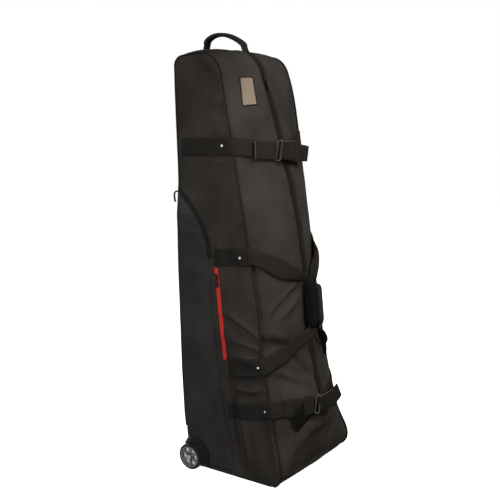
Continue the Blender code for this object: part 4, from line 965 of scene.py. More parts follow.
def joined(name, shapes, finish, body, nodes=()):
    """Several small shapes as one piece."""
    whole = bmesh.new()
    for shape in shapes:
        mesh = bpy.data.meshes.new("shape")
        shape.to_mesh(mesh)
        shape.free()
        whole.from_mesh(mesh)
        bpy.data.meshes.remove(mesh)
    mesh = bpy.data.meshes.new(name)
    whole.to_mesh(mesh)
    whole.free()
    smooth_shade(mesh)
    mesh.set_sharp_from_angle(angle=SHARP)
    return add_piece(name, mesh, finish, body, nodes)


def stand_at(origin, along, out):
    """A place with X along, Y into the cloth and Z across."""
    along = Vector(along).normalized()
    out = Vector(out)
    out = (out - along * out.dot(along)).normalized()
    place = Matrix((along, -out, along.cross(-out))).transposed().to_4x4()
    place.translation = Vector(origin)
    return place


FACING = {1: Matrix.Rotation(0.0, 4, "Z"), -1: Matrix.Rotation(math.pi, 4, "Z")}
print("edges sharper than", round(math.degrees(SHARP)), "degrees stay sharp")

# %% [markdown]
# Bright rivets pin each strap. A rivet head is a shallow dome with a rolled rim, turned round its own axis.

# %% Rivets
RIVETS = [(0.173, 0.968), (0.290, 0.222), (0.223, 0.659), (0.272, 0.350)]
RIVET_HEAD = [(0.0022, 0.0), (0.0020, 0.0014), (0.0013, 0.0025), (0.0011, 0.0028), (0.0012, 0.0032), (0.0005, 0.0036),
              (-0.0030, 0.0036), (-0.0030, 0.0)]
for label, side in SIDES:
    heads = []
    for depth, z in RIVETS:
        spot = Vector(side_spot(depth, z, side, 0.0038))
        heads.append(moved(spun(RIVET_HEAD, 20), Matrix.Translation(spot) @ FACING[side]))
    joined("rivets_" + label, heads, "silver", "case")
print("rivets", 2 * len(RIVETS))

# %% [markdown]
# ## Compression straps across the front
# From each corner seam a strap runs over the front to the closure near the zip. It hugs the cloth, so it is again a
# strip of the same surface. Its first few rows turn round the corner cord, so that it meets the run sewn on the
# side. The left runs open with the left flap and the right runs with the right flap.

# %% Straps across the front
WRAP = 0.10  # the share of a strap's rows that turn round the corner
FRONT_LIFT = 0.0018


def front_spot(x, z, lift=0.0, cloth=True):
    """Points on the front: x across, z as the height on the side seam, lift off the cloth."""
    x, z = np.broadcast_arrays(np.asarray(x, float), np.asarray(z, float))
    return gusset(front_run(z), np.clip(x / width_at(z), -1, 1), lift, cloth)


def front_strap(name, side, end_x, seam_z, end_z, end_lift, body, nodes):
    """Webbing from a corner seam to end_x, lifting off towards its end."""
    length = abs(end_x - side * HALF_WIDTH)

    def lay(u, v):
        t = np.clip((v - WRAP) / (1 - WRAP), 0, 1)
        z = seam_z + (end_z - seam_z) * t + (u - 0.5) * WEB
        x = side * HALF_WIDTH + (end_x - side * HALF_WIDTH) * t
        lift = FRONT_LIFT + (CORD_RISE - FRONT_LIFT) * np.exp(-t * length / 0.008) + (end_lift - FRONT_LIFT) * t ** 3
        spots = front_spot(x, z, lift)
        corner = front_spot(np.full(z.shape, side * HALF_WIDTH), z, 0.0)
        turn = np.clip(v / WRAP, 0, 1) * math.pi / 2
        reach = np.stack([side * np.cos(turn), np.sin(turn) * FRONT_OUT.y, np.sin(turn) * FRONT_OUT.z], -1)
        return np.where((v < WRAP)[:, None], corner + reach * CORD_RISE, spots)

    return add_sheet(name, 10, max(10, round(length / 0.006)), lay, (WEB, length), (0, -1, 0.1), "webbing", body,
                     nodes, WEB_THICK, 1.0)


STRAPS = {"upper": dict(seam_z=0.966, left_x=-0.128, left_z=0.948, ring_x=-0.034, ring_z=0.935, under=0.026),
          "lower": dict(seam_z=0.227, left_x=-0.130, left_z=0.219, ring_x=-0.036, ring_z=0.212, under=0.030)}
for label, s in STRAPS.items():
    front_strap(label + "_strap_front_left", -1, s["left_x"] + s["under"], s["seam_z"], s["left_z"], 0.008, "left_flap",
                [label + "_strap_left"])
    front_strap(label + "_strap_front_right", 1, 0.004, s["seam_z"], s["ring_z"], 0.014, "right_flap",
                [label + "_strap_right"])
print("straps reach the closures")

# %% [markdown]
# ## Closures
# Each strap closes with a side-release buckle under a short webbing cover, then a ring that the right-hand webbing
# is folded through. The buckle halves are flat outlines with softened edges, and the ring is a rounded bar bent into
# a rectangle. The lock half, its arms and the ring slide out together.

# %% Buckles
SOCKET_L, LOCK_L = 0.060, 0.022
SOCKET = [(0.014, 0.020), (0.018, 0.0240), (0.030, 0.0240), (0.033, 0.0215), (0.046, 0.0210), (0.051, 0.0240),
          (SOCKET_L, 0.0230)]
LOCK = [(SOCKET_L + 0.0003, 0.0228), (SOCKET_L + 0.010, 0.0245), (SOCKET_L + LOCK_L, 0.0245)]
ARM = [(0.028, 0.0150), (0.030, 0.0225), (0.038, 0.0240), (0.046, 0.0215), (SOCKET_L, 0.0180), (SOCKET_L, 0.0130)]
RING_LEFT, RING_RIGHT, RING_HALF = 0.0845, 0.0945, 0.0270
RING_LEAN = 0.34


def ring_path(low_x, high_x, half, corner, steps=5):
    """A rounded rectangle in X and Z, as a closed run of points."""
    centres = [(high_x - corner, half - corner, 0), (low_x + corner, half - corner, 90),
               (low_x + corner, corner - half, 180), (high_x - corner, corner - half, 270)]
    points = []
    for cx, cz, start in centres:
        for i in range(steps + 1):
            a = math.radians(start + 90 * i / steps)
            points.append((cx + corner * math.cos(a), 0.0, cz + corner * math.sin(a)))
    return points


def mirrored_outline(half):
    """Half an outline and its mirror image below."""
    return half + [(x, -z) for x, z in reversed(half)]


def place_all(name, shapes, place, body, nodes):
    joined(name, [moved(shape, place) for shape in shapes], "moulded", body, nodes)


PLACES = {}
for label, s in STRAPS.items():
    start = Vector(front_spot(s["left_x"], s["left_z"], 0.0105))
    end = Vector(front_spot(s["ring_x"], s["ring_z"], 0.0125))
    place = PLACES[label] = stand_at(start, end - start, FRONT_OUT)
    shapes = [plate(mirrored_outline(SOCKET), 0.0105, 0.0014), bar(0.026, 0.0118, 0.030, 0.0016, (0.020, 0, 0))]
    place_all(label + "_socket", shapes, place, "left_flap", [label + "_buckle_socket"])
    shapes = [plate(mirrored_outline(LOCK), 0.0090, 0.0012),
              bar(0.006, 0.0105, 0.040, 0.0012, (SOCKET_L + 0.005, 0, 0))]
    place_all(label + "_lock", shapes, place, label + "_lock", [label + "_buckle_lock"])
    arms = [plate([(x, z * turn) for x, z in ARM], 0.0060, 0.0008) for turn in (1, -1)]
    place_all(label + "_arms", arms, place, label + "_lock", [label + "_buckle_arms"])
    path = [place @ Vector((x, -0.0090 - 0.65 * (x - RING_LEFT) - RING_LEAN * z, z))
            for x, _, z in ring_path(RING_LEFT, RING_RIGHT, RING_HALF, 0.0045)]
    add_tube(label + "_ring", path, 0.0019, "gunmetal", label + "_lock", sides=10, closed=True)
    print(label, "closure from", [round(v, 3) for v in start])

# %% [markdown]
# A short webbing cover lies over each buckle. The lower cover's loose end has slipped out: it twists down, so it is
# drawn by its two edges. It gets a darker copy of the webbing, painted shade on its twisted side.

# %% Covers
def on_place(place, x, z, out):
    """A point on a closure: along it, up it and out from it."""
    return np.array(place @ Vector((x, -out, z)))


def ribbon_through(name, stations, width, body, count=24):
    """Webbing through stations, each a (spot, across) pair."""
    spots = smooth_line([s for s, _ in stations], count)
    across = smooth_line([a for _, a in stations], count)
    if not np.isscalar(width):
        width = np.interp(np.linspace(0, 1, count), np.linspace(0, 1, len(width)), width)
    return add_ribbon(name, spots, across, width, "webbing", body, (), WEB_THICK, FRONT_OUT)


def tilted(place, lean, rise=0.0):
    """The direction across a ribbon on a closure: up, with its top edge leaning out or, for a rise, back."""
    return np.array(place.to_3x3() @ Vector((-rise, -lean, 1)))


def add_band(name, one, two, finish, body, nodes, count):
    """Webbing between two edge lines."""
    one, two = smooth_line(one, count), smooth_line(two, count)
    last = count - 1

    def lay(u, v):
        i = np.rint(v * last).astype(int)
        return one[i] + (two[i] - one[i]) * u[:, None]

    size = (float(np.linalg.norm(one - two, axis=1).max()), float(lengths_of(one)[-1]))
    return add_sheet(name, RIBBON_COLUMNS, last, lay, size, FRONT_OUT, finish, body, nodes, WEB_THICK, 0.0)


COVERS = {  # along the closure, up, out, and how far the top edge leans out
    "upper_cover": [(0.0095, 0.0, 0.0084, 0.06), (0.022, 0.0, 0.0086, 0.08), (0.050, 0.0, 0.0086, 0.12),
                    (0.0795, 0.0, 0.0080, 0.18)],
    "lower_cover_web": [(-0.012, 0.0043, -0.0046, 0.0), (0.004, 0.0020, 0.0026, 0.02), (0.014, 0.0005, 0.0076, 0.05),
                        (0.024, 0.0, 0.0090, 0.08), (0.050, 0.0, 0.0086, 0.12), (0.0795, 0.0, 0.0080, 0.18)]}
for name, path in COVERS.items():
    place = PLACES[name[:5]]
    ribbon_through(name, [(on_place(place, x, z, out), tilted(place, lean)) for x, z, out, lean in path], WEB,
                   "left_flap")
# A pale tube at the cover's cut end: a painted highlight.
cut = [on_place(PLACES["upper"], 0.0095, z, 0.0088 + 0.06 * z) for z in (-0.0245, -0.008, 0.008, 0.0245)]
add_tube("upper_cover_end_highlight", smooth_line(cut, 12), 0.0015, "painted_edge_highlight", "left_flap", sides=6)
LOOSE_TOP = [(-0.066, 0.237, 0.020), (-0.087, 0.238, 0.024), (-0.112, 0.224, 0.032), (-0.137, 0.203, 0.042)]
LOOSE_LOW = [(-0.048, 0.190, 0.019), (-0.062, 0.184, 0.018), (-0.084, 0.172, 0.015), (-0.118, 0.153, 0.017)]
edges = [[front_spot(*spot, cloth=False) for spot in edge] for edge in (LOOSE_TOP, LOOSE_LOW)]
# The loose cover uses the darker webbing colour, a painted shade.
loose = add_band("lower_cover", *edges, "cord", "left_flap", (), 24)
print("covers", ", ".join(COVERS))

# %% [markdown]
# The webbing that goes through the ring is a ribbon that turns back on itself, with a thin pale tube along its top as a
# painted highlight.
# The loose tail is another ribbon. Both slide out with the lock.

# %% Folds and tails
FOLD = [(0.034, -0.001), (0.016, 0.000), (0.004, 0.002), (-0.003, 0.009)]  # right of the ring, and out
FOLD += [(0.001 + 0.046 * t, 0.0165 + 0.010 * t ** 0.8 + 0.0012 * math.sin(26 * t)) for t in np.linspace(0, 1, 21)]
FOLD += [(0.0490, 0.0250), (0.0480, 0.0225), (0.040, 0.0205)]
END_LEAN = 0.12
for label, rise in (("upper", 0.0), ("lower", 0.27)):
    place = PLACES[label]
    stations = []
    for past, out in FOLD:
        lean = RING_LEAN - (RING_LEAN - END_LEAN) * min(1.0, max(0.0, past / 0.046))
        stations.append((on_place(place, RING_RIGHT + past, rise * max(0.0, past), out), tilted(place, lean, rise)))
    ribbon_through(label + "_fold", stations, WEB, label + "_lock", 90)
    # A pale tube along the fold's top: a painted highlight.
    top = [spot + unit(across) * WEB / 2 for spot, across in stations[4:-3]]
    add_tube(label + "_fold_edge_highlight", smooth_line(top, 40), 0.0013, "painted_edge_highlight", label + "_lock", sides=6)
TAILS = {"upper": [(-0.010, 0.926, 0.024), (0.020, 0.924, 0.034), (0.048, 0.920, 0.042), (0.071, 0.917, 0.046)],
         "lower": [(-0.004, 0.206, 0.024), (0.018, 0.212, 0.032), (0.038, 0.218, 0.039), (0.056, 0.225, 0.044)]}
TAIL_LEAN = {"upper": (0.10, 0.25), "lower": (-0.38, 0.0)}  # to the right, and out
for label, path in TAILS.items():
    lean, out = TAIL_LEAN[label]
    across = unit(np.array(FRONT_UP) + np.array((lean, 0, 0)) + np.array(FRONT_OUT) * out)
    spots = [front_spot(x, z, lift, cloth=False) for x, z, lift in path]
    tail = ribbon_through(label + "_tail", [(spot, across) for spot in spots], [WEB, WEB, 0.047, 0.044],
                          label + "_lock")
print("folds and tails added")

# %% [markdown]
# ## Haul loops
# Two webbing loops lift the case. Each leaves its corner seam twice, crosses the front and runs edge-on through a
# padded grip beside the zip. A ribbon with a steady twist can't follow that, so each loop is a band between two edge
# lines, which cross the front at their own heights.

# %% Haul webbing
HAUL_EDGES = {  # the outer and the inner edge of each loop as (x, z, lift) from the upper anchor to the lower one
    "left": ([(0.165, 0.684, 0.0066), (0.130, 0.664, 0.010), (0.100, 0.645, 0.013), (0.072, 0.622, 0.017),
              (0.045, 0.598, 0.024), (0.022, 0.575, 0.033), (0.014, 0.556, 0.036), (0.013, 0.500, 0.036),
              (0.010, 0.440, 0.034), (0.004, 0.416, 0.032), (0.035, 0.396, 0.026), (0.065, 0.378, 0.014),
              (0.098, 0.355, 0.010), (0.140, 0.338, 0.008), (0.165, 0.328, 0.0066)],
             [(0.165, 0.638, 0.0066), (0.140, 0.617, 0.009), (0.105, 0.588, 0.010), (0.075, 0.577, 0.010),
              (0.048, 0.571, 0.011), (0.026, 0.563, 0.012), (0.016, 0.548, 0.014), (0.015, 0.500, 0.016),
              (0.016, 0.452, 0.018), (0.018, 0.437, 0.022), (0.035, 0.428, 0.020), (0.060, 0.418, 0.016),
              (0.095, 0.401, 0.012), (0.122, 0.393, 0.010), (0.165, 0.374, 0.0066)]),
    "right": ([(0.165, 0.684, 0.0066), (0.125, 0.674, 0.007), (0.085, 0.666, 0.0120), (0.070, 0.637, 0.0273),
               (0.050, 0.602, 0.0300), (0.030, 0.569, 0.0285), (0.018, 0.553, 0.028), (0.014, 0.500, 0.032),
               (0.014, 0.440, 0.030), (0.014, 0.419, 0.0301), (0.030, 0.406, 0.0379), (0.050, 0.377, 0.0363),
               (0.085, 0.362, 0.010), (0.125, 0.362, 0.006), (0.165, 0.374, 0.0066)],
              [(0.165, 0.638, 0.0066), (0.120, 0.622, 0.005), (0.070, 0.612, 0.005), (0.034, 0.606, 0.007),
               (0.018, 0.587, 0.008), (0.015, 0.567, 0.010), (0.015, 0.548, 0.012), (0.016, 0.500, 0.014),
               (0.016, 0.450, 0.014), (0.020, 0.425, 0.012), (0.050, 0.375, 0.009), (0.075, 0.345, 0.007),
               (0.100, 0.320, 0.005), (0.130, 0.322, 0.005), (0.165, 0.328, 0.0066)])}


def add_haul(side, label):
    """One loop. Its ends turn round the corner seam to reach the patches on the side."""
    lines = []
    for edge in HAUL_EDGES[label]:
        line = [front_spot(side * x, z, lift, cloth=False) for x, z, lift in edge]
        first, last = (front_spot(side * HALF_WIDTH, edge[i][1], cloth=False) + np.array((side * 0.0075, 0.003, 0))
                       for i in (0, -1))
        lines.append([first] + line + [last])
    return add_band("haul_loop_" + label, *lines, "webbing", "haul_" + label, ["haul_%s_web" % label], 170)


for label, side in SIDES:
    loop = add_haul(side, label)
    print(loop.name, len(loop.data.polygons), "faces")

# %% [markdown]
# The grip is a stuffed sleeve with drawn-in ends, a pinch near each end and a closing seam.
# Both grips are one padding: the left one is coloured darker as painted shade, the right one lighter as painted light.

# %% Padded grips
GRIP_X, GRIP_LOW_Z = 0.0140, 0.428
GRIP_HALF_W, GRIP_HALF_D = 0.0130, 0.0175
GRIP_TOP_Z = {"left": 0.562, "right": 0.549}
GRIP_OUT = {"left": 0.0255, "right": 0.0290}


def add_grip(side, label, finish):
    """The padded sleeve round a loop."""
    low = np.array(front_spot(side * GRIP_X, GRIP_LOW_Z, GRIP_OUT[label], cloth=False))
    top = np.array(front_spot(side * GRIP_X, GRIP_TOP_Z[label], GRIP_OUT[label], cloth=False))
    out = np.array(FRONT_OUT)

    def lay(u, v):
        end = np.minimum(v, 1 - v)
        size = 0.50 + 0.50 * np.sqrt(np.clip(1 - (1 - np.clip(end / 0.20, 0, 1)) ** 2, 0, 1))
        size = np.where(end < 0.001, 0.30, size)
        a = 2 * np.pi * u
        seam = 1 - 0.10 * np.exp(-((u - 0.5) / 0.03) ** 2)
        wave = 1 + 0.025 * ripple(np.cos(a) * 0.5 + side, v * 1.6, 0.5, 4.0)
        pinch = 1 - 0.03 * np.exp(-((end - 0.11) / 0.012) ** 2)
        reach = size * seam * wave * pinch
        spots = low + (top - low) * v[:, None]
        spots[:, 0] += squared(np.cos(a), 0.8) * GRIP_HALF_W * reach
        return spots + out * (squared(np.sin(a), 0.8) * GRIP_HALF_D * reach)[:, None]

    mesh = weld(lay_sheet("haul_grip_" + label, 28, 40, lay, (0.09, 0.134)), 0.00002, fill=True)
    grip = add_piece("haul_grip_" + label, mesh, finish, "haul_" + label, ["haul_%s_grip" % label])


# Painted shade on the left grip and painted light on the right grip, as two colours of one padding.
add_grip(-1, "left", "padding")
add_grip(1, "right", "grip_painted_light")
print("grips", {label: round(top - GRIP_LOW_Z, 3) for label, top in GRIP_TOP_Z.items()}, "m long")

# %% [markdown]
# ## Main zip
# The zip is a pair of tapes with a coil along each inner edge. It sits a little below the cloth. The tapes are strips
# of the front surface, and each coil is a thin tube whose thickness beats once per tooth. Below the flaps only a
# short plain end of tape is left, sewn into the lower panel.

# %% Main zip
COIL_PITCH, COIL_OUT = 0.0024, 0.0016
TAPE_LIFT, FOOT_SINK = 0.0007, 0.002
TAPE_GAP, TAPE_UNDER = 0.0006, 0.002


def zip_half(name, start, end, side, body, nodes, finish):
    """One tape along the middle of the front or the hood, between two places along the seam."""
    inner, outer = TAPE_GAP * side / HALF_WIDTH, (TAPE_HALF + TAPE_UNDER) * side / HALF_WIDTH
    low, high = min(inner, outer), max(inner, outer)
    middle = gusset((start + end) / 2, 0.0)
    away = gusset((start + end) / 2, 0.0, 0.01) - middle
    return add_sheet(name, 4, max(4, round((end - start) / 0.006)),
                     lambda u, v: gusset(start + (end - start) * v, low + (high - low) * u,
                                         np.where((v < 0.2) & (start == ZIP_FOOT), -FOOT_SINK, TAPE_LIFT)),
                     (TAPE_HALF, end - start), away, finish, body, nodes, 0.0010)


def coil(name, line, body, radius=0.0012, finish="coil"):
    """The row of teeth along a tape: a thin tube that swells at every tooth."""
    line = np.array(line)
    length = lengths_of(line)
    count = int(length[-1] / COIL_PITCH) * 4
    places = np.linspace(0, length[-1], count)
    fine = np.stack([np.interp(places, length, line[:, i]) for i in range(3)], -1)
    beat = radius * (1 + 0.28 * np.sign(np.sin(2 * np.pi * places / COIL_PITCH)))
    return add_tube(name, fine, beat, finish, body, sides=5)


for label, side in SIDES:
    parts = [("foot", ZIP_FOOT, FLAP_FOOT, "case", []),
             ("front", FLAP_FOOT, FLAP_HEAD, label + "_flap", ["zip_tape_" + label]),
             ("head", FLAP_HEAD, ZIP_HEAD, "case", ["zip_tape_top"] if side < 0 else [])]
    for word, start, end, body, nodes in parts:
        name = "%s_%s" % (word, label)
        zip_half("main_tape_" + name, start, end, side, body, nodes, "nylon" if word == "foot" else "tape")
        if word != "foot":
            runs = np.arange(start, end, 0.006)
            coil("main_coil_" + name, gusset(runs, side * COIL_OUT / HALF_WIDTH, COIL_OUT), body)
print("main zip", round(ZIP_HEAD - ZIP_FOOT, 3), "m long")

# %% [markdown]
# ## Side pocket
# A long pocket covers the lower back part of the left side. It is cut from a smoother coated cloth and bulges with
# what it holds. It is a sheet laid on the side panel's surface and lifted off it.

# %% Side pocket
ARC_BACK, ARC_Z, ARC_R = -0.129, 0.640, 0.237
POCKET_LOW, POCKET_HIGH = 0.016, 0.832
POCKET_EDGE = [(0.02, 0.177), (0.157, 0.146), (0.335, 0.125), (0.50, 0.113), (0.64, 0.108)]


def pocket_front(z):
    """How far forward of the back seam the pocket reaches at a height."""
    line = np.interp(z, [p[0] for p in POCKET_EDGE], [p[1] for p in POCKET_EDGE])
    arc = ARC_BACK + np.sqrt(np.clip(ARC_R ** 2 - (np.asarray(z) - ARC_Z) ** 2, 0, None))
    return np.where(np.asarray(z) > ARC_Z, arc, line)


def lay_pocket(u, v):
    """The pocket from its foot to its mouth, with u from the back seam to the front edge."""
    z = POCKET_LOW + (POCKET_HIGH - POCKET_LOW) * v
    reach = pocket_front(z)
    depth = reach * u
    edge = np.minimum(reach * (1 - u), np.minimum((0.838 - z) * 0.7, z))
    swell = 0.0045 * (1 - np.exp(-edge / 0.008)) + 0.006 * np.clip(edge / 0.06, 0, 1)
    swell = swell * np.clip((z + 0.03) / 0.12, 0.3, 1)
    at_seam = 0.35 + 0.65 * (1 - np.exp(-depth / 0.010))
    wave = 0.0016 * ripple(depth, z, 0.07, 9.3) * np.clip(edge / 0.02, 0, 1)
    return side_spot(depth, z, -1, 0.0012 + swell * at_seam + wave)


add_sheet("side_pocket_cloth", 30, 160, lay_pocket, (0.14, 0.82), (-1, 0, 0), "coated", "case", ["side_pocket"], 0.002)
print("pocket reaches", round(float(pocket_front(POCKET_LOW)), 3), "m forward at its foot")

# %% [markdown]
# The pocket closes with a zip along the arc at its top. A short red zip in front of it opens a second pocket. Both
# tapes are narrow sheets that follow a line on the side, with a row of teeth along their middle.

# %% Side zips
SIDE_TAPE, SIDE_TAPE_LIFT = 0.0130, 0.0030


def side_zip(name, line, finish, nodes):
    """A flat zip tape on the left side along line, given as (depth, z) points."""
    line = smooth_line(line, 40)
    ahead = np.gradient(line, axis=0)
    ahead /= np.linalg.norm(ahead, axis=1)[:, None]
    square = np.stack([-ahead[:, 1], ahead[:, 0]], -1)
    last = len(line) - 1

    def lay(u, v):
        i = np.rint(v * last).astype(int)
        spot = line[i] + square[i] * ((u - 0.5) * SIDE_TAPE)[:, None]
        return side_spot(np.clip(spot[:, 0], 0.0005, None), spot[:, 1], -1, SIDE_TAPE_LIFT)

    size = (SIDE_TAPE, float(lengths_of(line)[-1]))
    return add_sheet(name, 6, last, lay, size, (-1, 0, 0), finish, "case", nodes, 0.0012)


def side_coil(name, line, count, lift, radius, finish):
    """The teeth along a side zip."""
    line = smooth_line(line, count)
    coil(name, side_spot(np.maximum(line[:, 0], 0.001), line[:, 1], -1, lift), "case", radius, finish)


arc_line = [(ARC_BACK + (ARC_R + 0.006) * math.cos(a), ARC_Z + (ARC_R + 0.006) * math.sin(a))
            for a in np.radians(np.linspace(56.5, 2, 9))]
side_zip("pocket_zip_band", arc_line, "tape", ["pocket_zip_tape"])
side_coil("pocket_coil", arc_line, 50, 0.0042, 0.0012, "coil")
RED_LINE = [(0.135, 0.622), (0.141, 0.530), (0.148, 0.440), (0.155, 0.354)]
side_zip("red_zip_band", RED_LINE, "red", ["red_zip_tape"])
side_coil("red_coil", RED_LINE, 40, 0.0036, 0.0009, "red_coil")
print("side zips laid")

# %% [markdown]
# ## Sliders and pulls
# A slider is a small bridge of cast metal that straddles the coils, with a loop for its pull. The body is a waisted
# outline with softened edges. The pulls of the main and red zips are flat ridged tabs, and the pocket's is a moulded
# hook that stands off behind the case.

# %% Sliders and pulls
WAIST = [(-0.009, -0.0040), (-0.004, -0.0055), (0.005, -0.0055), (0.009, -0.0030), (0.009, 0.0030), (0.005, 0.0055),
         (-0.004, 0.0055), (-0.009, 0.0040)]


def slider_shapes(place, size=1.0):
    body = plate([(x * size, z * size) for x, z in WAIST], 0.0032 * size, 0.0006)
    hoop = plate([(-0.005 * size, -0.0012), (0.006 * size, -0.0012), (0.006 * size, 0.0012), (-0.005 * size, 0.0012)],
                 0.0034 * size, 0.0006)
    return [moved(body, place), moved(hoop, place @ Matrix.Translation((0, -0.0028 * size, 0)))]


def pull_shapes(place, length, wide):
    half = [(0.0, 0.0022), (0.004, 0.0030), (0.009, 0.0024), (0.012, wide / 2), (length - 0.003, wide / 2),
            (length, wide / 2 - 0.003)]
    tab = plate(mirrored_outline(half), 0.0022, 0.0007)
    ridges = [bar(0.0016, 0.0030, wide - 0.003, 0.0005, (length - 0.006 - 0.004 * i, 0, 0)) for i in range(3)]
    return [moved(shape, place) for shape in [tab] + ridges]


def front_place(z, lift):
    """A place on the zip at a height, facing down it."""
    spot = Vector(front_spot(0.0, z, lift))
    ahead = Vector(front_spot(0.0, z - 0.01, lift)) - spot
    return stand_at(spot, ahead, FRONT_OUT)


def side_place(one, two, lift):
    spot = Vector(side_spot(*one, -1, lift))
    return stand_at(spot, Vector(side_spot(*two, -1, lift)) - spot, (-1, 0, 0))


ZIPS = {  # slider's place and size, then the pull's place, length and width
    "main": (front_place(1.138, 0.0045), 1.15, front_place(1.142, 0.0095), 0.034, 0.009),
    "red": (side_place((0.1373, 0.597), (0.1382, 0.587), 0.0060), 1.0,
            side_place((0.1374, 0.597), (0.1383, 0.587), 0.0085), 0.032, 0.008)}
for name, (place, size, hang, length, wide) in ZIPS.items():
    joined(name + "_slider", slider_shapes(place, size), "zinc", name + "_slider", [name + "_zip_slider"])
    joined(name + "_pull", pull_shapes(hang, length, wide), "zinc", name + "_puller", [name + "_zip_puller"])
place = side_place((0.018, 0.8335), (0.026, 0.8275), 0.0060)
joined("pocket_slider", slider_shapes(place), "zinc", "pocket_slider", ["pocket_zip_slider"])
head = side_spot(0.016, 0.835, -1, 0.0085)
hook = [head, head + (-0.004, 0.006, 0.003), head + (-0.006, 0.0125, -0.003), head + (-0.006, 0.0135, -0.015),
        head + (-0.005, 0.012, -0.028)]
add_tube("pocket_pull", smooth_line(hook, 24), np.linspace(0.0022, 0.0030, 24), "moulded", "pocket_puller",
         ["pocket_zip_puller"], sides=10)
print("three sliders with their pulls")

# %% [markdown]
# ## Name-card window
# A clear vinyl pocket near the top holds a blank card. A sewn frame goes round it. The frame is a band laid round a
# rounded rectangle and the pane is a separate sheet, so that they can have different finishes.

# %% Name-card window
CARD_X, CARD_Z, CARD_HALF_W, CARD_HALF_H, CARD_CORNER = -0.086, 1.1095, 0.0280, 0.0405, 0.005
CARD_LEAN, CARD_RIM = 0.15, 0.0030


def card_spot(x, z, lift):
    """A point on the card, whose top leans a little to the right on the soft front."""
    return front_spot(CARD_X + x + CARD_LEAN * z, CARD_Z + z, lift)


def card_outline(v):
    """Points round the card as (x, z), with v from 0 to 1 once round."""
    loop = np.array([(p[0], p[2]) for p in ring_path(-CARD_HALF_W, CARD_HALF_W, CARD_HALF_H, CARD_CORNER, 4)])
    loop = np.vstack([loop, loop[:1]])
    place = lengths_of(loop)
    return np.stack([np.interp(v * place[-1], place, loop[:, i]) for i in (0, 1)], -1)


def lay_card_frame(u, v):
    rim = card_outline(v % 1.0)
    rim = rim * (1 - u[:, None] * np.array([CARD_RIM / CARD_HALF_W, CARD_RIM / CARD_HALF_H]))
    crown = 0.0012 * np.sin(np.pi * u)
    return card_spot(rim[:, 0], rim[:, 1], 0.0016 + crown)


add_sheet("card_frame", 5, 96, lay_card_frame, (CARD_RIM, 0.22), (0, -1, 0.15), "tape", "case", ["card_window"],
          0.0010)


def lay_pane(u, v):
    x, z = (2 * u - 1) * (CARD_HALF_W - 0.002), (2 * v - 1) * (CARD_HALF_H - 0.002)
    return card_spot(x, z, 0.0012)


add_sheet("card_pane", 14, 20, lay_pane, (0.045, 0.073), (0, -1, 0.15), "card", "case", thick=0.0006)
print("card window", CARD_HALF_W * 2, "by", CARD_HALF_H * 2, "m")

# %% [markdown]
# ## Top handle
# The carry handle is a stiff padded bow of webbing over the top, held by two short sewn legs. The legs bend between
# the case and the handle when it sways; they hang on no body, with their place baked into the mesh. The bow is one
# closed band, and a red bar of tight stitching marks where the back leg is sewn down.

# %% Top handle
HANDLE_W, HANDLE_HALF_D = 0.029, 0.0058
BOW = [(0.1775, 1.2530), (0.1745, 1.2620), (0.1640, 1.2705), (0.1440, 1.2775), (0.1220, 1.2785), (0.0980, 1.2745),
       (0.0720, 1.2645), (0.0500, 1.2515), (0.0390, 1.2410)]


def lay_bow(u, v):
    """The bow as a flattened tube along its line."""
    line = smooth_line(BOW, 61)
    ahead = np.gradient(line, axis=0)
    ahead /= np.linalg.norm(ahead, axis=1)[:, None]
    i = np.rint(v * 60).astype(int)
    a = 2 * np.pi * u
    end = np.minimum(v, 1 - v)
    size = np.where(end < 0.001, 0.4, 0.75 + 0.25 * np.clip(end / 0.08, 0, 1))
    x = squared(np.cos(a), 0.6) * HANDLE_W / 2 * np.where(end < 0.001, 0.8, 1.0)
    reach = squared(np.sin(a), 0.7) * HANDLE_HALF_D * size
    return np.stack([x, line[i, 0] + ahead[i, 1] * reach, line[i, 1] - ahead[i, 0] * reach], -1)


mesh = weld(lay_sheet("handle_bow", 24, 60, lay_bow, (0.055, 0.17)), 0.00002, fill=True)
add_piece("handle_bow", mesh, "webbing", "top_handle", ["top_handle_grip"])
LEGS = {"back": [(0.1815, 1.222), (0.1810, 1.232), (0.1795, 1.243), (0.1755, 1.255)],
        "front": [(0.0330, 1.2230), (0.0370, 1.2285), (0.0398, 1.2360), (0.0430, 1.2440)]}
for label, path in LEGS.items():
    spots = smooth_line([(0.0, y, z) for y, z in path], 14)
    leg = add_ribbon("handle_leg_" + label, spots, [(1, 0, 0)] * 14, HANDLE_W, "webbing", None,
                     ["top_handle_leg_" + label], 0.0040, (0, 0, 1))
    start, end = Vector((0, *path[0])), Vector((0, *path[-1]))
    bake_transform(leg)
mark = plate([(-0.0158, 0.0), (0.0158, 0.0), (0.0158, 0.0065), (-0.0158, 0.0065)], 0.0078, 0.0014)
joined("handle_bartack", [moved(mark, Matrix.Translation((0, 0.1800, 1.2310)))], "red", "case")
print("handle top at", max(z for _, z in BOW))

# %% [markdown]
# ## Wheels
# Two wheels carry the case when it is tilted back. Tyre, rim and boss are turned shapes. Six waisted spokes stand
# between rim and boss, over a dish coloured bright silver between the dark grey spokes: a painted highlight.

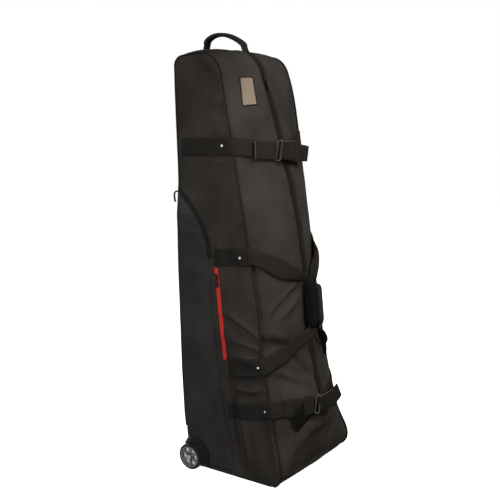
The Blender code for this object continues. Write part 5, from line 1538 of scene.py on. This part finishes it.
# %% Wheels
WHEEL_INNER, AXLE_Y, AXLE_Z = 0.1965, 0.1375, 0.0405
TYRE = [(0.0015, 0.0330), (0.0, 0.0345), (0.0005, 0.0372), (0.0030, 0.0392), (0.0070, 0.0399), (0.0110, 0.0400),
        (0.0150, 0.0399), (0.0190, 0.0392), (0.0215, 0.0372), (0.0220, 0.0345), (0.0205, 0.0330), (0.0015, 0.0330)]
RIM = [(0.0020, 0.0328), (0.0200, 0.0328), (0.0214, 0.0318), (0.0214, 0.0290), (0.0195, 0.0276), (0.0140, 0.0270),
       (0.0060, 0.0272), (0.0020, 0.0290), (0.0020, 0.0328)]
BOSS = [(0.0100, 0.0045), (0.0100, 0.0120), (0.0185, 0.0125), (0.0200, 0.0112), (0.0200, 0.0080), (0.0190, 0.0072),
        (0.0190, 0.0045)]
DISH = [(0.0105, 0.0115), (0.0125, 0.0115), (0.0135, 0.0200), (0.0125, 0.0285), (0.0105, 0.0285), (0.0105, 0.0115)]
SPOKE = [(0.0105, -0.0050), (0.0200, -0.0037), (0.0285, -0.0062), (0.0285, 0.0062), (0.0200, 0.0037), (0.0105, 0.0050)]
STAND = Matrix(((0, 1, 0, 0), (1, 0, 0, 0), (0, 0, -1, 0), (0, 0, 0, 1)))
CAP = [(0.0205, 0.0), (0.0235, 0.0), (0.0232, 0.0050), (0.0222, 0.0074), (0.0200, 0.0078), (0.0195, 0.0045)]
for label, side in SIDES:
    place = Matrix.Translation((side * WHEEL_INNER, AXLE_Y, AXLE_Z)) @ FACING[side]
    body = "wheel_" + label
    joined("tyre_" + label + "_rubber", [moved(spun(TYRE, 56), place)], "rubber", body, ["tyre_" + label])
    hub = [moved(spun(RIM, 56), place), moved(spun(BOSS, 40), place)]
    for i in range(6):
        turn = Matrix.Rotation(math.radians(60 * i + 30), 4, "X") @ Matrix.Translation((0.0160, 0, 0))
        hub.append(moved(plate(SPOKE, 0.0060, 0.0012), place @ turn @ STAND))
    joined("hub_" + label + "_rim", hub, "hub", body, ["hub_" + label])
    # The dish's bright silver against the dark grey rim and spokes of the same hub is a painted highlight.
    joined("hub_" + label + "_dish", [moved(spun(DISH, 48), place)], "silver", body)
    joined("axle_cap_" + label, [moved(spun(CAP, 28), place)], "moulded", "case")
print("wheels at", AXLE_Y, AXLE_Z)

# %% [markdown]
# Each wheel sits in a moulded corner: an arch with three ridges. Its section is drawn once and turned part of the way
# round the axle. A flat plate behind the wheel joins the arch to the case, and a short stem carries the axle.

# %% Wheel corners
SECTION = [(0.1795, 0.0425), (0.2085, 0.0425), (0.2090, 0.0440), (0.2080, 0.0455), (0.2040, 0.0462), (0.2012, 0.0462),
           (0.2012, 0.0478), (0.2003, 0.0492), (0.1965, 0.0498), (0.1938, 0.0498), (0.1938, 0.0513), (0.1928, 0.0527),
           (0.1890, 0.0533), (0.1795, 0.0535)]
DISC = [(0.0, 0.0), (0.0, 0.0460), (0.0050, 0.0460), (0.0064, 0.0445), (0.0064, 0.0)]
STEM = [(0.004, 0.0), (0.004, 0.0150), (0.0140, 0.0130), (0.0155, 0.0120), (0.0155, 0.0)]
PLATE_X = 0.1803
for label, side in SIDES:
    arch = bmesh.new()
    face = arch.faces.new([arch.verts.new((side * x, -r, 0.0)) for x, r in SECTION])
    moved(arch, Matrix.Rotation(math.radians(30), 4, "X"))
    bmesh.ops.spin(arch, geom=[face] + face.edges[:] + face.verts[:], cent=(0, 0, 0), axis=(-1, 0, 0),
                   angle=math.radians(150), steps=48)
    bmesh.ops.remove_doubles(arch, verts=arch.verts, dist=0.000002)
    bmesh.ops.recalc_face_normals(arch, faces=arch.faces)
    disc = spun(DISC, 56)
    for axis, level in (((0, 1, 0), 0.036), ((0, 0, -1), 0.0365)):
        bmesh.ops.bisect_plane(disc, geom=disc.verts[:] + disc.edges[:] + disc.faces[:],
                               plane_co=Vector(axis) * level, plane_no=axis, clear_outer=True)
        bmesh.ops.holes_fill(disc, edges=[e for e in disc.edges if e.is_boundary], sides=0)
    stem = spun(STEM, 32)
    for shape in (disc, stem):
        moved(shape, Matrix.Translation((side * PLATE_X, 0, 0)) @ FACING[side])
        bmesh.ops.recalc_face_normals(shape, faces=shape.faces)
    corner = Matrix.Translation((0, AXLE_Y, AXLE_Z))
    joined("wheel_corner_" + label, [moved(shape, corner) for shape in (arch, disc, stem)], "moulded", "case",
           ["wheel_housing_" + label])
print("wheel corners moulded")

# %% [markdown]
# ## Inside
# The flaps open, so the inside is dressed too: a quilted pad guards the club heads in the upper back and a stiff board
# lines the base. The pad is a closed cushion with sewn channels. The board, axles and bearings keep their CAD shape
# and only get a finish.

# %% Inside pieces
PAD_LOW, PAD_HIGH, PAD_HALF = 0.790, 1.130, 0.138


def lay_pad(u, v):
    """The pad's face swells between channels; its edge is drawn down to the back panel."""
    x = (2 * u - 1) * PAD_HALF
    z = PAD_LOW + (PAD_HIGH - PAD_LOW) * v
    edge = np.minimum(PAD_HALF - np.abs(x), np.minimum(z - PAD_LOW, PAD_HIGH - z))
    channel = np.abs(np.sin(np.pi * v * 5)) ** 0.45
    swell = 0.0105 * np.clip(1 - (1 - np.clip(edge / 0.012, 0, 1)) ** 2, 0, 1) ** 0.5 * (0.45 + 0.55 * channel)
    return gusset(back_run(z), x / HALF_WIDTH, -0.0042 - swell)


def lay_pad_back(u, v):
    x = (2 * u - 1) * PAD_HALF
    return gusset(back_run(PAD_LOW + (PAD_HIGH - PAD_LOW) * v), x / HALF_WIDTH, -0.0040)


size = (2 * PAD_HALF, PAD_HIGH - PAD_LOW)
face = lay_sheet("quilted_pad", 48, 64, lay_pad, size)
rear = lay_sheet("pad_rear", 48, 64, lay_pad_back, size)
pad = add_piece("quilted_pad", weld(face, 0.0004, other=rear), "foam", "case", ["back_foam_pad"])
KEPT = {"base_board": "board", "axle_left": "steel", "axle_right": "steel", "bearing_left": "steel",
        "bearing_right": "steel"}
for node, finish in KEPT.items():
    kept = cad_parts[node]
    kept.data.materials.clear()
    kept.data.materials.append(FINISHES[finish])
print("inside dressed")

# %% [markdown]
# ## Stitching
# Rows of thread hold it all together: a box with a cross on every sewn strap, and a row along the zip, the pocket
# and the card. A stitch is a tiny stretched bead, and all stitches that move together are one piece.

# %% Stitching
STITCH, PITCH, THREAD = 0.0034, 0.0050, 0.0005


def stitched(name, rows, body):
    """All rows of one body as one piece, with a bead for each stitch."""
    whole = bmesh.new()
    for row in rows:
        length = lengths_of(row)
        for place in np.arange(PITCH / 2, length[-1] - STITCH / 2, PITCH):
            start, end = (Vector([np.interp(place + k * STITCH, length, row[:, i]) for i in range(3)])
                          for k in (-0.5, 0.5))
            turn = (end - start).to_track_quat("X", "Z").to_matrix().to_4x4()
            size = Matrix.Diagonal((STITCH / 2, THREAD, THREAD, 1))
            bmesh.ops.create_icosphere(whole, subdivisions=1, radius=1.0,
                                       matrix=Matrix.Translation((start + end) / 2) @ turn @ size)
    mesh = bpy.data.meshes.new(name)
    whole.to_mesh(mesh)
    whole.free()
    smooth_shade(mesh)
    return add_piece(name, mesh, "thread", body)


HEM = (TAPE_HALF + 0.0045) / HALF_WIDTH
for label, side in SIDES:
    ROWS[label + "_flap"].append(gusset(np.arange(FLAP_FOOT + 0.004, FLAP_HEAD - 0.004, 0.004), side * HEM, 0.0004))
    ROWS["case"].append(gusset(np.arange(FLAP_HEAD + 0.004, ZIP_HEAD, 0.004), side * HEM, 0.0004))
heights = np.linspace(0.02, 0.99, 160)
reach = pocket_front(POCKET_LOW + (POCKET_HIGH - POCKET_LOW) * heights)
ROWS["case"].append(lay_pocket(1 - 0.006 / reach, heights) + np.array((-0.0004, 0, 0)))
rim = card_outline(np.linspace(0, 1, 120))
rim = rim * (1 - np.array([0.0015 / CARD_HALF_W, 0.0015 / CARD_HALF_H]))
ROWS["case"].append(card_spot(rim[:, 0], rim[:, 1], 0.0031))
for body, rows in ROWS.items():
    thread = stitched("stitches_" + body, rows, body)
    print(body, len(thread.data.polygons) // 20, "stitches")

# %% [markdown]
# ## Light and floor
# The photograph is a cut-out on white with soft light from the front. A wide key lamp stands in front, a weaker one on
# the left, and two fills keep the hidden sides readable. The white background is shown only to the camera and to
# mirror-like rays, so it adds no soft light to the case.

# %% Light
def show_instead(tree, plain, shown, output):
    """Shows another shader than the plain one to the camera and to glossy and transmitted rays."""
    rays = tree.nodes.new("ShaderNodeLightPath")
    seen = add_math(tree, "MAXIMUM", rays.outputs["Is Camera Ray"],
                    add_math(tree, "MAXIMUM", rays.outputs["Is Glossy Ray"], rays.outputs["Is Transmission Ray"]))
    choose = tree.nodes.new("ShaderNodeMixShader")
    tree.links.new(seen, choose.inputs["Fac"])
    tree.links.new(plain.outputs[0], choose.inputs[1])
    tree.links.new(shown.outputs[0], choose.inputs[2])
    tree.links.new(choose.outputs[0], tree.nodes[output].inputs["Surface"])


world = bpy.data.worlds.new("studio")
bpy.context.scene.world = world
world.use_nodes = True
tree = world.node_tree
dim = tree.nodes["Background"]
dim.inputs["Color"].default_value = (1.0, 0.98, 0.95, 1)
dim.inputs["Strength"].default_value = 0.10
white = tree.nodes.new("ShaderNodeBackground")
white.inputs["Color"].default_value = (1, 1, 1, 1)
white.inputs["Strength"].default_value = 1.0
show_instead(tree, dim, white, "World Output")


def add_lamp(name, spot, aim, size, power, colour=(1, 1, 1)):
    """A round soft lamp at a spot, turned towards a point."""
    lamp = bpy.data.lights.new(name, "AREA")
    lamp.shape = "DISK"
    lamp.size = size
    lamp.energy = power
    lamp.color = colour
    holder = bpy.data.objects.new(name, lamp)
    bpy.context.scene.collection.objects.link(holder)
    holder.location = spot
    holder.rotation_euler = (Vector(aim) - Vector(spot)).to_track_quat("-Z", "Y").to_euler()


add_lamp("key", (-0.2, -1.70, 1.95), (0, 0, 0.70), 1.5, 39, (1.0, 0.95, 0.90))
add_lamp("fill", (-2.2, -0.1, 1.2), (0, 0, 0.60), 0.9, 20, (1.0, 0.97, 0.96))
add_lamp("right fill", (2.4, 0.7, 1.2), (0, 0, 0.6), 1.2, 26)
add_lamp("back fill", (0.5, 2.6, 1.1), (0, 0, 0.6), 1.2, 40)
print(len(bpy.data.lights), "lamps")

# %% [markdown]
# The floor is dim to the light that falls on it, so it throws little back at the case. To the camera it is nearly
# white and takes a soft shadow.

# %% Floor
bm = bmesh.new()
bmesh.ops.create_grid(bm, x_segments=1, y_segments=1, size=6.0)
floor_mesh = bpy.data.meshes.new("floor")
bm.to_mesh(floor_mesh)
bm.free()
floor = bpy.data.objects.new("floor", floor_mesh)
bpy.context.scene.collection.objects.link(floor)
floor.location.z = -0.0005
floor_paint = bpy.data.materials.new("floor")
floor_paint.use_nodes = True
tree = floor_paint.node_tree
paint = tree.nodes["Principled BSDF"]
paint.inputs["Base Color"].default_value = (0.12, 0.12, 0.12, 1)
paint.inputs["Roughness"].default_value = 0.9
pale = tree.nodes.new("ShaderNodeBsdfDiffuse")
pale.inputs["Color"].default_value = (0.95, 0.95, 0.95, 1)
glow = tree.nodes.new("ShaderNodeEmission")
glow.inputs["Strength"].default_value = 0.92
shadow = tree.nodes.new("ShaderNodeAddShader")
tree.links.new(pale.outputs[0], shadow.inputs[0])
tree.links.new(glow.outputs[0], shadow.inputs[1])
show_instead(tree, paint, shadow, "Material Output")
floor_mesh.materials.append(floor_paint)
print("studio ready")
